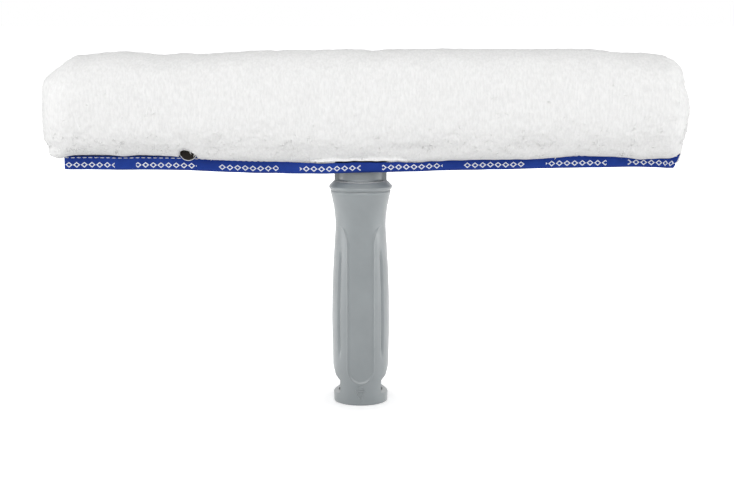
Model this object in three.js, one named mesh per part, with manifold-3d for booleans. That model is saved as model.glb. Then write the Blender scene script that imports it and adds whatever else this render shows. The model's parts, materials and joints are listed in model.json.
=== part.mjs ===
// Window strip washer: a grey moulded handle, a flat bar across its top, and a thick white
// pile sleeve that buttons over the bar. Millimetres, +Z up. The part stands on the end of
// its handle. The origin is the centre of that end face, +X runs along the bar to the right
// and -Y points to the side that carries the stud.

import * as THREE from "three";
import { mergeVertices } from "three/addons/utils/BufferGeometryUtils.js";
import Module from "manifold-3d";

const wasm = await Module();
wasm.setup();

// Fits shared by every piece
const seatGap = 0.3; // between pieces that touch
const overrun = 2; // how far a cut runs past the face that it opens
const roundSides = 48; // facets round the handle
const smallSides = 16; // facets round rivets, studs and screws

// Handle
const palmSteps = 18; // rings between the end face and the collar
const gripLength = 127; // end face to the shoulder that carries the stem
const gripBaseRadius = 15.35;
const gripEndRound = 0.6;
const gripWaistRadius = 14.3; // below the collar
const gripSwellRadius = 16.4; // widest part of the palm
const collarRadius = 17.9;
const collarDrop = 3.3; // shoulder down to the middle of the collar's bead
const collarBeadRadius = 1.4;
const collarBeadTurn = THREE.MathUtils.degToRad(75); // how far the bead turns in above and below
const shoulderRadius = 14.9;
const socketMouthRadius = 12.7; // tapered socket for a pole's cone
const socketEndRadius = 9.4;
const webThickness = 3.4; // floor between the pole socket and the stem socket
const stemSocketDepth = 24;
const stemSocketRadius = 10;

// Catches for the pole, one each side of the handle
const latchFlat = 11.7; // distance of the flat cut from the axis
const latchSill = 6.5;
const latchFlatTop = 14.2;
const latchBend = 14.2; // distance from the axis at which the slope above it steepens
const latchBendTop = 16.1;
const latchSlopeTop = 22.8;

// Palm panels, front and back, and the four flutes beside them
const panelHalfWidth = 7.3;
const panelRecess = 0.5;
const panelFoot = 12.8;
const panelFootRise = 12.5;
const panelHeadDrop = 23; // shoulder down to the panel's flared head
const panelFlareLength = 13.5;
const panelBeadWidth = 1.1;
const panelBeadHeight = 0.35;
const panelBeadRoot = 1.5; // how deep the bead is rooted below the surface
const fluteDepth = 1;
const fluteRadius = 1.6;
const fluteFoot = 24.7;
const fluteHeadDrop = 35.6; // shoulder down to the upper ends of the flutes
const fluteAngle = THREE.MathUtils.degToRad(49); // from the middle of the panel

// Stem that joins the handle to the bar
const stemRise = 25.9; // handle's shoulder to the bar's underside
const stemHalfWidth = 12.8;
const stemHalfDepth = 6.75;
const stemRibHalfWidth = 14.75;
const stemRibThickness = 4;
const stemKeyDepth = 6; // how far the ribs key into the handle
const gussetReach = 27;
const gussetHeight = 11;
const spigotLength = 23.2;
const tongueHalfWidth = 17;

// Screw and washer that hold the stem in the handle, reached through the pole socket
const screwRadius = 2.4;
const screwLength = 21;
const screwHeadRadius = 4.6;
const screwHeadHeight = 3.2;
const screwHeadEdge = 0.8;
const screwRecessRadius = 1.8;
const screwRecessDepth = 1.8;
const washerRadius = 6.6;
const washerThickness = 1.2;

// Bar
const barHalfLength = 165;
const barDepth = 16;
const barHeight = 35;
const barWall = 1.8;
const barCornerRadius = 4;
const slotLength = 15;
const slotHeight = 10;
const slotPitch = 21;
const slotFirst = 38; // centre of the slot nearest the stem

// End caps of the bar
const capFlange = 1.5;
const capPlug = 14;
const capEdge = 0.6;

// Rivets through the bar and the stem's tongue
const rivetSpacing = 22;
const rivetRadius = 2.2;
const rivetHeadRadius = 4;
const rivetCrownRadius = 2;
const rivetHeadHeight = 1;
const rivetHeadEdge = 0.35;

// Sleeve: woven backing with a thick pile, sewn shut at both ends
const pileDepth = 12.6; // backing and pile over the bar
const pileDepthLeft = 10; // the same past the two ends of the bar
const pileDepthRight = 13.3;
const sleeveSquareness = 2.6; // exponent of the rounded section
const sleeveLeftRound = 20; // the left end is the softer one
const sleeveLeftDrawIn = 13;
const sleeveRightRound = 11;
const sleeveRightDrawIn = 9;
const sleeveSides = 32;
const sleevePocketEnd = 1; // play between an end cap and the sewn end
const lipThickness = 1.8;
const gatherHeight = 6.5; // from the bar's underside down to where the lips meet
const lipHeight = 11.6; // from there down to their lower edge

// Binding tape folded round both lips of the opening
const tapeThickness = 0.8;
const tapeHeight = 6;
const tapeLeftInset = 11.3; // tape's ends, in from the sleeve's ends
const tapeRightInset = 1.5;
const tapeSag = 1.9;
const tapeSagCentre = -30;
const tapeSagHalfLength = 135;
const lipOpenInner = 15; // the lips lie against the stem up to here
const lipOpenOuter = 50; // and meet again from here

// Closing flap: the front of the sleeve from the stem to its left end
const flapRight = 17;
const flapHingeRise = 6.6; // fold line of the flap above the middle of the bar

// Press stud on the lips, left of the stem
const studPlace = -96.5;
const studCapRadius = 4.7;
const studCapThickness = 1.8;
const studShankRadius = 1.4;
const studDiscRadius = 3.9;
const studDiscThickness = 0.6;
const studNoseHeight = 1.4;
const studNoseRootRadius = 2.2;
const studNoseTipRadius = 1.1;
const studSocketThickness = 2;
const studSocketReach = 0.2; // how far the socket stands past the middle of the lips
const studCupFloor = 0.6;
const studSpringRadius = 2.6;
const studSpringWire = 0.5;
const studSpringGap = THREE.MathUtils.degToRad(40);
const studDimpleRadius = 4.5;
const studDimpleTilt = THREE.MathUtils.degToRad(38); // the pile is parted forwards and down

// Shares of the handle's length and of the widths named above
const bellyShares = [ // share of the length, share from the waist's radius to the swell's
  [0, 0.5], [0.147, 0.73], [0.22, 0.84], [0.39, 1], [0.57, 0.75], [0.7, 0.34], [0.805, 0],
];
const studDomeShares = [[1, 0.33], [0.92, 0.62], [0.7, 0.86], [0.4, 0.97]];
const neckShares = [ // share of the length, share from the waist's radius to the collar's
  [0.875, 0.2], [0.92, 0.5], [0.947, 0.72],
];

// Places worked out from those sizes
const collarHeight = gripLength - collarDrop;
const panelFlareEnd = gripLength - panelHeadDrop;
const panelFlareStart = panelFlareEnd - panelFlareLength;
const fluteHead = gripLength - fluteHeadDrop;
const socketDepth = gripLength - stemSocketDepth - webThickness;
const spigotRadius = stemSocketRadius - seatGap;
const barFloor = gripLength + stemRise;
const barCentre = barFloor + barHeight / 2;
const slotsPerArm = 1 + Math.floor((barHalfLength - capPlug - slotLength / 2 - slotFirst) / slotPitch);
const sealHalf = seatGap; // half of the space between the two closed bindings
const pocketHalfDepth = barDepth / 2 + seatGap;
const pocketTop = barFloor + barHeight + seatGap;
const pocketFloor = barFloor - seatGap;
const pocketHalfLength = barHalfLength + capFlange + sleevePocketEnd;
const sleeveLeft = pocketHalfLength + pileDepthLeft; // handle axis to the left end
const sleeveRight = pocketHalfLength + pileDepthRight;
const sleeveHalfDepth = pocketHalfDepth + pileDepth;
const sleeveRise = barHeight / 2 + seatGap + pileDepth; // middle of the bar to the sleeve's top
const gatherFloor = pocketFloor - gatherHeight;
const tapeBottom = gatherFloor - lipHeight; // at the ends, where nothing sags
const tapeLeft = sleeveLeft - tapeLeftInset;
const tapeRight = sleeveRight - tapeRightInset;
const flapHingeHeight = barCentre + flapHingeRise;
const studHeight = pileFloor(studPlace) + studDiscRadius; // its disc clears the binding

function toSolid(geometry) {
  const bare = geometry.clone();
  bare.deleteAttribute("normal");
  bare.deleteAttribute("uv");
  const merged = mergeVertices(bare);
  return new wasm.Manifold(new wasm.Mesh({
    numProp: 3,
    vertProperties: new Float32Array(merged.attributes.position.array),
    triVerts: new Uint32Array(merged.index.array),
  }));
}

function toGeometry(solid) {
  const mesh = solid.getMesh();
  const geometry = new THREE.BufferGeometry();
  geometry.setAttribute("position", new THREE.BufferAttribute(mesh.vertProperties, mesh.numProp));
  geometry.setIndex(new THREE.BufferAttribute(mesh.triVerts, 1));
  geometry.computeVertexNormals();
  return geometry;
}

// Turns a closed [radius, place] profile about the Y axis.
function turnedProfile(profile, sides) {
  const points = profile.map(([radius, place]) => new THREE.Vector2(radius, place));
  if (THREE.ShapeUtils.isClockWise(points)) {
    points.reverse();
  }
  return new THREE.LatheGeometry([...points, points[0]], sides);
}

// Turns a [radius, height] profile about the Z axis.
function turned(profile, sides = roundSides) {
  return toSolid(turnedProfile(profile, sides).rotateX(Math.PI / 2));
}

// Turns a [radius, place] profile about an axis along Y. Places grow towards +Y.
function turnedAlongY(profile, x, z, sides = smallSides) {
  return toSolid(turnedProfile(profile, sides).translate(x, 0, z));
}

// Extrudes an outline drawn in X and Z, centred on Y.
function prismAlongY(shape, depth, curveSegments = smallSides / 2) {
  const geometry = new THREE.ExtrudeGeometry(shape, { depth, bevelEnabled: false, curveSegments });
  return toSolid(geometry.rotateX(Math.PI / 2).translate(0, depth / 2, 0));
}

// Extrudes an outline drawn in Y and Z, from one place on X to another.
function prismAlongX(shape, from, to, options = {}) {
  const settings = { depth: to - from, bevelEnabled: false, curveSegments: 3, ...options };
  const geometry = new THREE.ExtrudeGeometry(shape, settings);
  const turn = new THREE.Matrix4().makeBasis(
    new THREE.Vector3(0, 1, 0),
    new THREE.Vector3(0, 0, 1),
    new THREE.Vector3(1, 0, 0),
  );
  return toSolid(geometry.applyMatrix4(turn).translate(from, 0, 0));
}

function box(xLow, xHigh, yLow, yHigh, zLow, zHigh) {
  const geometry = new THREE.BoxGeometry(xHigh - xLow, yHigh - yLow, zHigh - zLow);
  return toSolid(geometry.translate((xLow + xHigh) / 2, (yLow + yHigh) / 2, (zLow + zHigh) / 2));
}

// Skins a closed outline, given as [y, z] points, along places on X.
function lofted(places, outlineAt) {
  const rings = places.map((x) => {
    const outline = outlineAt(x).map(([y, z]) => new THREE.Vector2(y, z));
    return THREE.ShapeUtils.area(outline) < 0 ? outline.reverse() : outline;
  });
  const count = rings[0].length;
  const positions = rings.flatMap((ring, i) => ring.flatMap((p) => [places[i], p.x, p.y]));
  const index = [];
  for (let i = 0; i + 1 < rings.length; i += 1) {
    for (let j = 0; j < count; j += 1) {
      const a = i * count + j;
      const b = i * count + ((j + 1) % count);
      index.push(a, b, b + count, a, b + count, a + count);
    }
  }
  const last = (rings.length - 1) * count;
  for (const [a, b, c] of THREE.ShapeUtils.triangulateShape(rings[0], [])) {
    index.push(a, c, b);
  }
  for (const [a, b, c] of THREE.ShapeUtils.triangulateShape(rings[rings.length - 1], [])) {
    index.push(last + a, last + b, last + c);
  }
  const geometry = new THREE.BufferGeometry();
  geometry.setAttribute("position", new THREE.Float32BufferAttribute(positions, 3));
  geometry.setIndex(index);
  return toSolid(geometry);
}

function roundedBox(halfWidth, halfHeight, radius, centre, make = THREE.Shape) {
  const outline = new make();
  outline.absarc(halfWidth - radius, centre - halfHeight + radius, radius, -Math.PI / 2, 0);
  outline.absarc(halfWidth - radius, centre + halfHeight - radius, radius, 0, Math.PI / 2);
  outline.absarc(radius - halfWidth, centre + halfHeight - radius, radius, Math.PI / 2, Math.PI);
  outline.absarc(radius - halfWidth, centre - halfHeight + radius, radius, Math.PI, 1.5 * Math.PI);
  outline.closePath();
  return outline;
}

function polygon(points) {
  return new THREE.Shape(points.map(([x, y]) => new THREE.Vector2(x, y)));
}

// Handle

// The palm's outline as [radius, height] points, from the end face up to the collar.
function palmOutline(steps) {
  const belly = bellyShares.map(([share, part]) => new THREE.Vector2(
    gripWaistRadius + part * (gripSwellRadius - gripWaistRadius), share * gripLength));
  const neck = neckShares.map(([share, part]) => new THREE.Vector2(
    gripWaistRadius + part * (collarRadius - gripWaistRadius), share * gripLength));
  return new THREE.SplineCurve([...belly, ...neck]).getPoints(steps).map((p) => [p.x, p.y]);
}

function gripBody() {
  const palm = palmOutline(palmSteps).filter(([, height]) => height > gripEndRound);
  const bead = [];
  const beadSteps = 5;
  for (let i = 0; i <= beadSteps; i += 1) {
    const angle = collarBeadTurn * ((2 * i) / beadSteps - 1);
    bead.push([
      collarRadius - collarBeadRadius + collarBeadRadius * Math.cos(angle),
      collarHeight + collarBeadRadius * Math.sin(angle),
    ]);
  }
  return turned([
    [socketMouthRadius, 0],
    [gripBaseRadius - gripEndRound, 0],
    [gripBaseRadius, gripEndRound],
    ...palm,
    ...bead,
    [shoulderRadius + seatGap, gripLength - seatGap],
    [shoulderRadius, gripLength],
    [stemSocketRadius, gripLength],
    [stemSocketRadius, gripLength - stemSocketDepth],
    [screwRadius + seatGap, gripLength - stemSocketDepth],
    [screwRadius + seatGap, socketDepth],
    [socketEndRadius, socketDepth],
  ]);
}

// A tongue-shaped outline: round foot, straight sides, and a head that flares to the waist.
function panelOutline(halfWidth, foot, spread) {
  const flareHalfWidth = gripSwellRadius + spread;
  const outline = new THREE.Shape();
  outline.moveTo(-flareHalfWidth, panelFlareEnd + spread);
  outline.quadraticCurveTo(-halfWidth, panelFlareEnd + spread, -halfWidth, panelFlareStart);
  outline.lineTo(-halfWidth, foot + panelFootRise);
  outline.absellipse(0, foot + panelFootRise, halfWidth, panelFootRise, Math.PI, 2 * Math.PI);
  outline.lineTo(halfWidth, panelFlareStart);
  outline.quadraticCurveTo(halfWidth, panelFlareEnd + spread, flareHalfWidth, panelFlareEnd + spread);
  outline.closePath();
  return outline;
}

function makeGrip() {
  const fullDepth = 2 * (collarRadius + overrun);
  const palm = palmOutline(palmSteps).filter(([, height]) => height < panelFlareEnd);
  palm.push([palm.at(-1)[0], panelFlareEnd + overrun]);

  // The panels are cut down to a core that meets the palm again at the waist.
  const core = palm.map(([radius, height]) => {
    const fade = THREE.MathUtils.smoothstep(height, panelFlareStart, panelFlareEnd);
    return [radius - panelRecess + fade * (panelRecess + seatGap), height];
  });
  const coreSolid = turned([
    [0, -overrun], [gripBaseRadius, -overrun], ...core, [0, panelFlareEnd + overrun],
  ]);
  const panel = prismAlongY(panelOutline(panelHalfWidth, panelFoot, 0), fullDepth);

  // A low bead runs round each panel.
  const beadSkin = turned([
    ...palm.map(([radius, height]) => [radius + panelBeadHeight, height]),
    ...palm.map(([radius, height]) => [radius - panelBeadRoot, height]).reverse(),
  ]);
  const halfBead = panelBeadWidth / 2;
  const beadRing = prismAlongY(panelOutline(panelHalfWidth + halfBead, panelFoot - halfBead, 0), fullDepth)
    .subtract(prismAlongY(panelOutline(panelHalfWidth - halfBead, panelFoot + halfBead, panelBeadWidth), fullDepth));

  let grip = gripBody().subtract(panel.subtract(coreSolid)).add(beadRing.intersect(beadSkin));

  const fluteLength = fluteHead - fluteFoot - 2 * fluteRadius;
  for (const side of [-1, 1]) {
    for (const face of [-1, 1]) {
      const reach = gripSwellRadius - fluteDepth + fluteRadius;
      const flute = new THREE.CapsuleGeometry(fluteRadius, fluteLength, 4, 12).rotateX(Math.PI / 2);
      flute.translate(
        side * reach * Math.sin(fluteAngle),
        face * reach * Math.cos(fluteAngle),
        (fluteFoot + fluteHead) / 2,
      );
      grip = grip.subtract(toSolid(flute));
    }
    const slope = (latchSlopeTop - latchBendTop) / (gripSwellRadius - latchBend);
    const outside = collarRadius + overrun;
    const latch = polygon([
      [side * latchFlat, latchSill],
      [side * outside, latchSill],
      [side * outside, latchBendTop + slope * (outside - latchBend)],
      [side * latchBend, latchBendTop],
      [side * latchFlat, latchFlatTop],
    ]);
    grip = grip.subtract(prismAlongY(latch, fullDepth));
  }

  const keyHalfWidth = stemRibHalfWidth + seatGap;
  const keyHalfDepth = stemRibThickness / 2 + seatGap;
  return grip.subtract(box(
    -keyHalfWidth, keyHalfWidth, -keyHalfDepth, keyHalfDepth,
    gripLength - stemKeyDepth - seatGap, gripLength + overrun,
  ));
}

// Stem: an oval column between two thin ribs. The ribs key into the handle below and
// spread into gussets under the bar. A spigot goes down into the handle and a tongue goes
// up into the hollow bar.
function makeStem() {
  const seat = gripLength + seatGap;
  const top = barFloor - seatGap;
  const column = new THREE.Shape();
  column.absellipse(0, 0, stemHalfWidth, stemHalfDepth, 0, 2 * Math.PI);
  const columnSolid = toSolid(new THREE.ExtrudeGeometry(column, {
    depth: top - seat, bevelEnabled: false, curveSegments: roundSides / 2,
  }).translate(0, 0, seat));

  const ribs = polygon([
    [-stemRibHalfWidth, gripLength - stemKeyDepth],
    [stemRibHalfWidth, gripLength - stemKeyDepth],
    [stemRibHalfWidth, top - gussetHeight],
    [gussetReach, top],
    [-gussetReach, top],
    [-stemRibHalfWidth, top - gussetHeight],
  ]);
  const ribSolid = prismAlongY(ribs, stemRibThickness);

  const spigot = turned([
    [0, gripLength - spigotLength],
    [spigotRadius - seatGap, gripLength - spigotLength],
    [spigotRadius, gripLength - spigotLength + seatGap],
    [spigotRadius, seat + overrun],
    [0, seat + overrun],
  ]);

  const inset = barWall + seatGap;
  const tongue = prismAlongX(
    roundedBox(barDepth / 2 - inset, barHeight / 2 - inset, barCornerRadius - barWall, barCentre),
    -tongueHalfWidth, tongueHalfWidth,
  );
  const tongueRoot = box(
    -tongueHalfWidth, tongueHalfWidth, inset - barDepth / 2, barDepth / 2 - inset,
    top - overrun, barFloor + barCornerRadius,
  );

  const pilotTop = gripLength - stemSocketDepth + screwLength;
  const pilot = turned([
    [0, gripLength - spigotLength - overrun],
    [screwRadius + seatGap, gripLength - spigotLength - overrun],
    [screwRadius + seatGap, pilotTop],
    [0, pilotTop],
  ], smallSides);

  let stem = columnSolid.add(ribSolid).add(spigot).add(tongue).add(tongueRoot).subtract(pilot);
  for (const side of [-1, 1]) {
    stem = stem.subtract(rivetBore(side * rivetSpacing / 2, rivetRadius + seatGap));
  }
  return stem;
}

function rivetBore(x, radius) {
  const reach = barDepth / 2 + overrun;
  return turnedAlongY([[0, -reach], [radius, -reach], [radius, reach], [0, reach]], x, barCentre);
}

// Screw from below, with its washer under the head
function makeScrew() {
  const under = socketDepth - seatGap - washerThickness - seatGap;
  const head = under - screwHeadHeight;
  return turned([
    [0, head + screwRecessDepth],
    [screwRecessRadius, head + screwRecessDepth],
    [screwRecessRadius, head],
    [screwHeadRadius - screwHeadEdge, head],
    [screwHeadRadius, head + screwHeadEdge],
    [screwHeadRadius, under],
    [screwRadius, under],
    [screwRadius, under + screwLength - screwRadius],
    [0, under + screwLength],
  ], smallSides);
}

function makeWasher() {
  const top = socketDepth - seatGap;
  return turned([
    [screwRadius + seatGap, top - washerThickness],
    [washerRadius, top - washerThickness],
    [washerRadius, top],
    [screwRadius + seatGap, top],
  ], smallSides);
}

// Bar: a hollow extrusion with a row of slots that hold water in the sleeve
function makeBar() {
  const outline = roundedBox(barDepth / 2, barHeight / 2, barCornerRadius, barCentre);
  outline.holes.push(roundedBox(
    barDepth / 2 - barWall, barHeight / 2 - barWall, barCornerRadius - barWall, barCentre, THREE.Path,
  ));
  let bar = prismAlongX(outline, -barHalfLength, barHalfLength);

  for (const side of [-1, 1]) {
    for (let i = 0; i < slotsPerArm; i += 1) {
      const centre = side * (slotFirst + i * slotPitch);
      const half = slotLength / 2 - slotHeight / 2;
      const slot = new THREE.Shape();
      slot.absarc(centre + half, barCentre, slotHeight / 2, -Math.PI / 2, Math.PI / 2);
      slot.absarc(centre - half, barCentre, slotHeight / 2, Math.PI / 2, 1.5 * Math.PI);
      slot.closePath();
      bar = bar.subtract(prismAlongY(slot, barDepth + 2 * overrun, 3));
    }
    bar = bar.subtract(rivetBore(side * rivetSpacing / 2, rivetRadius + seatGap));
  }
  const mouthHalf = tongueHalfWidth + seatGap;
  const mouthHalfDepth = barDepth / 2 - barWall;
  return bar.subtract(box(
    -mouthHalf, mouthHalf, -mouthHalfDepth, mouthHalfDepth, barFloor - overrun, barFloor + barCornerRadius,
  ));
}

function makeEndCap(side) {
  const inset = barWall + seatGap;
  const plug = roundedBox(
    barDepth / 2 - inset, barHeight / 2 - inset, barCornerRadius - barWall, barCentre,
  );
  const flange = roundedBox(
    barDepth / 2 - capEdge, barHeight / 2 - capEdge, barCornerRadius - capEdge, barCentre,
  );
  const face = barHalfLength + seatGap;
  const rim = prismAlongX(flange, face + capEdge, face + capFlange - capEdge, {
    bevelEnabled: true, bevelSize: capEdge, bevelThickness: capEdge, bevelSegments: 1,
  });
  const cap = rim.add(prismAlongX(plug, barHalfLength - capPlug, face + capEdge));
  return side > 0 ? cap : cap.rotate([0, 0, 180]);
}

function makeRivet(x) {
  const face = barDepth / 2 + seatGap;
  const crown = face + rivetHeadHeight;
  return turnedAlongY([
    [0, -crown],
    [rivetCrownRadius, -crown],
    [rivetHeadRadius, -face - rivetHeadEdge],
    [rivetHeadRadius, -face],
    [rivetRadius, -face],
    [rivetRadius, face],
    [rivetHeadRadius, face],
    [rivetHeadRadius, face + rivetHeadEdge],
    [rivetCrownRadius, crown],
    [0, crown],
  ], x, barCentre);
}

// Sleeve

// How far each lip is pushed out by the stem between them
function lipOpening(x) {
  return stemHalfDepth * (1 - THREE.MathUtils.smoothstep(Math.abs(x), lipOpenInner, lipOpenOuter));
}

// How far the lips hang down at a place on the bar
function lipSag(x) {
  return tapeSag * (1 - THREE.MathUtils.smoothstep(Math.abs(x - tapeSagCentre), 0, tapeSagHalfLength));
}

function lipInnerFace(x) {
  return sealHalf + lipOpening(x) + tapeThickness + seatGap;
}

function lipOuterFace(x) {
  return lipInnerFace(x) + lipThickness;
}

// Places along the lips, closer together beside the stem
function lipPlaces(from, to) {
  const steps = [
    -tapeLeft, -tapeSagHalfLength + tapeSagCentre, -(tapeSagHalfLength + lipOpenOuter) / 2,
    (tapeSagHalfLength + lipOpenOuter) / 2, tapeSagHalfLength + tapeSagCentre, tapeRight,
  ];
  const half = (lipOpenInner + lipOpenOuter) / 2;
  const quarter = (lipOpenOuter - lipOpenInner) / 4;
  for (const side of [-1, 1]) {
    steps.push(side * lipOpenOuter, side * (half + quarter), side * half);
    steps.push(side * (half - quarter), side * lipOpenInner);
  }
  steps.push(studPlace, from, to);
  const inside = steps.filter((x) => x >= from && x <= to).sort((a, b) => a - b);
  return inside.filter((x, i) => i === 0 || x - inside[i - 1] > seatGap || x === to);
}

// Underside of the pile, which rests on the binding's upper edge
function pileFloor(x) {
  return tapeBottom - lipSag(x) + tapeHeight + seatGap;
}

// The sleeve's rounded section at a place on the bar, drawn in near its ends
function sleeveSection(x, drawIn) {
  const points = [];
  const power = 2 / sleeveSquareness;
  const drop = barCentre - pileFloor(x) - drawIn;
  for (let i = 0; i < sleeveSides; i += 1) {
    const angle = ((i + 0.5) / sleeveSides) * 2 * Math.PI;
    const across = Math.sign(Math.cos(angle)) * Math.abs(Math.cos(angle)) ** power;
    const up = Math.sign(Math.sin(angle)) * Math.abs(Math.sin(angle)) ** power;
    points.push([
      (sleeveHalfDepth - drawIn) * across,
      barCentre + (up > 0 ? sleeveRise - drawIn : drop) * up,
    ]);
  }
  return points;
}

function makeSleeveShell() {
  const straight = lipPlaces(sleeveLeftRound - sleeveLeft, sleeveRight - sleeveRightRound);
  const drawIns = new Map(straight.map((x) => [x, 0]));
  const turns = 6;
  for (let i = 1; i <= turns; i += 1) {
    const angle = (i / turns) * (Math.PI / 2);
    const left = -sleeveLeft + sleeveLeftRound * (1 - Math.sin(angle));
    const right = sleeveRight - sleeveRightRound * (1 - Math.sin(angle));
    drawIns.set(left, sleeveLeftDrawIn * (1 - Math.cos(angle)));
    drawIns.set(right, sleeveRightDrawIn * (1 - Math.cos(angle)));
  }
  const places = [...drawIns.keys()].sort((a, b) => a - b);
  const body = lofted(places, (x) => sleeveSection(x, drawIns.get(x)));

  const lipTop = pocketFloor;
  const lips = lofted(lipPlaces(-tapeLeft, tapeRight), (x) => {
    const foot = tapeBottom - lipSag(x) + tapeThickness + seatGap;
    return [
      [-lipOuterFace(x), foot], [lipOuterFace(x), foot],
      [lipOuterFace(x), lipTop], [-lipOuterFace(x), lipTop],
    ];
  });

  const pocket = prismAlongX(polygon([
    [-pocketHalfDepth, pocketTop],
    [-pocketHalfDepth, pocketFloor],
    [-lipInnerFace(tapeRight), gatherFloor],
    [lipInnerFace(tapeRight), gatherFloor],
    [pocketHalfDepth, pocketFloor],
    [pocketHalfDepth, pocketTop],
  ]), -pocketHalfLength, pocketHalfLength);

  const slitPlaces = lipPlaces(-tapeLeft, tapeRight);
  const slitOutline = polygon([
    [-tapeLeft - overrun, -lipInnerFace(tapeLeft)],
    ...slitPlaces.map((x) => [x, -lipInnerFace(x)]),
    [tapeRight + overrun, -lipInnerFace(tapeRight)],
    [tapeRight + overrun, lipInnerFace(tapeRight)],
    ...slitPlaces.map((x) => [x, lipInnerFace(x)]).reverse(),
    [-tapeLeft - overrun, lipInnerFace(tapeLeft)],
  ]);
  const slitFloor = tapeBottom - tapeSag - overrun;
  const slit = toSolid(new THREE.ExtrudeGeometry(slitOutline, {
    depth: pocketFloor + overrun - slitFloor, bevelEnabled: false,
  }).translate(0, 0, slitFloor));

  const stemRoom = box(
    -gussetReach - seatGap, gussetReach + seatGap,
    -stemHalfDepth - seatGap, stemHalfDepth + seatGap, gatherFloor, pocketFloor + overrun,
  );

  let shell = body.add(lips).subtract(pocket).subtract(slit).subtract(stemRoom);
  for (const side of [-1, 1]) {
    const reach = barDepth / 2 + 2 * seatGap + rivetHeadHeight;
    const radius = rivetHeadRadius + seatGap;
    shell = shell.subtract(turnedAlongY(
      [[0, -reach], [radius, -reach], [radius, reach], [0, reach]],
      side * rivetSpacing / 2, barCentre,
    ));
    shell = shell.subtract(studSeat(side));
  }
  return shell;
}

// Room for one half of the stud: -1 is the front lip's half, 1 the back lip's
function studSeat(side) {
  const inner = lipInnerFace(studPlace);
  const outer = lipOuterFace(studPlace);
  const capRoom = studCapFace() + seatGap + studCapThickness;
  const seat = turnedAlongY([
    [0, 0],
    [studDiscRadius + 2 * seatGap, 0],
    [studDiscRadius + 2 * seatGap, side * studSeatDepth(side)],
    [studShankRadius + seatGap, side * studSeatDepth(side)],
    [studShankRadius + seatGap, side * outer],
    [studCapRadius + seatGap, side * outer],
    [studCapRadius + seatGap, side * capRoom],
    [0, side * capRoom],
  ], studPlace, studHeight);
  const dimple = new THREE.CylinderGeometry(studDimpleRadius, studDimpleRadius, sleeveHalfDepth, smallSides);
  dimple.translate(0, sleeveHalfDepth / 2, 0);
  dimple.rotateX(side * studDimpleTilt - Math.PI / 2);
  dimple.translate(studPlace, side * (inner + lipThickness), studHeight);
  return seat.add(toSolid(dimple));
}

// A cap's rim lies over the binding's upper edge.
function studCapFace() {
  return lipOuterFace(studPlace) + tapeThickness + 2 * seatGap;
}

function studSeatDepth(side) {
  const socketBack = studSocketThickness - studSocketReach + seatGap;
  return side < 0 ? socketBack : lipInnerFace(studPlace);
}

function flapRoom(gap) {
  const far = sleeveRight + sleeveLeft;
  return box(-far, flapRight + gap, -far, gap, tapeBottom - tapeSag - overrun, flapHingeHeight + gap);
}

const sleeveShell = makeSleeveShell();

function makeSleeve() {
  return sleeveShell.subtract(flapRoom(seatGap / 2));
}

// The flap's inner wall swings down past the rivet heads, so its recesses run up to the fold.
function makeFlap() {
  let flap = sleeveShell.intersect(flapRoom(-seatGap / 2));
  const half = rivetHeadRadius + seatGap;
  const reach = barDepth / 2 + 2 * seatGap + rivetHeadHeight;
  for (const side of [-1, 1]) {
    const x = side * rivetSpacing / 2;
    flap = flap.subtract(box(x - half, x + half, -reach, 0, barCentre, flapHingeHeight + overrun));
  }
  return flap;
}

// Binding tape folded round one lip: side is -1 for the front lip and 1 for the back one
function makeBinding(side, from, to) {
  return lofted(lipPlaces(from, to), (x) => {
    const foot = tapeBottom - lipSag(x);
    const top = foot + tapeHeight;
    const faces = [
      sealHalf + lipOpening(x),
      sealHalf + lipOpening(x) + tapeThickness,
      lipOuterFace(x) + seatGap,
      lipOuterFace(x) + seatGap + tapeThickness,
    ].map((y) => side * y);
    return [
      [faces[0], top], [faces[0], foot], [faces[3], foot], [faces[3], top],
      [faces[2], top], [faces[2], foot + tapeThickness],
      [faces[1], foot + tapeThickness], [faces[1], top],
    ];
  });
}

// Press stud: a domed cap with a shank on the outside of each lip, a socket inside the
// front lip and a nose inside the back lip
function makeStudCap(side) {
  const face = studCapFace();
  const crown = face + studCapThickness;
  const tip = studSeatDepth(side) + (side < 0 ? 0 : seatGap / 2);
  return turnedAlongY([
    [0, side * tip],
    [studShankRadius, side * tip],
    [studShankRadius, side * face],
    [studCapRadius, side * face],
    ...studDomeShares.map(([across, up]) => [
      across * studCapRadius, side * (face + up * studCapThickness),
    ]),
    [0, side * crown],
  ], studPlace, studHeight);
}

function makeStudSocket() {
  const back = studSocketReach - studSocketThickness;
  const floor = back + studCupFloor;
  const slope = (studNoseRootRadius - studNoseTipRadius) / studNoseHeight;
  const mouth = studNoseTipRadius + seatGap + slope * (studSocketReach - floor);
  const groove = (studSocketReach + floor) / 2;
  const grooveHalf = studSpringWire / 2 + seatGap / 2;
  const cupAt = (place) => studNoseTipRadius + seatGap + slope * (place - floor);
  return turnedAlongY([
    [0, back],
    [studDiscRadius, back],
    [studDiscRadius, studSocketReach - seatGap],
    [studDiscRadius - seatGap, studSocketReach],
    [mouth, studSocketReach],
    [cupAt(groove + grooveHalf), groove + grooveHalf],
    [studSpringRadius + seatGap / 2, groove + grooveHalf],
    [studSpringRadius + seatGap / 2, groove - grooveHalf],
    [cupAt(groove - grooveHalf), groove - grooveHalf],
    [cupAt(floor), floor],
    [0, floor],
  ], studPlace, studHeight);
}

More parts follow.
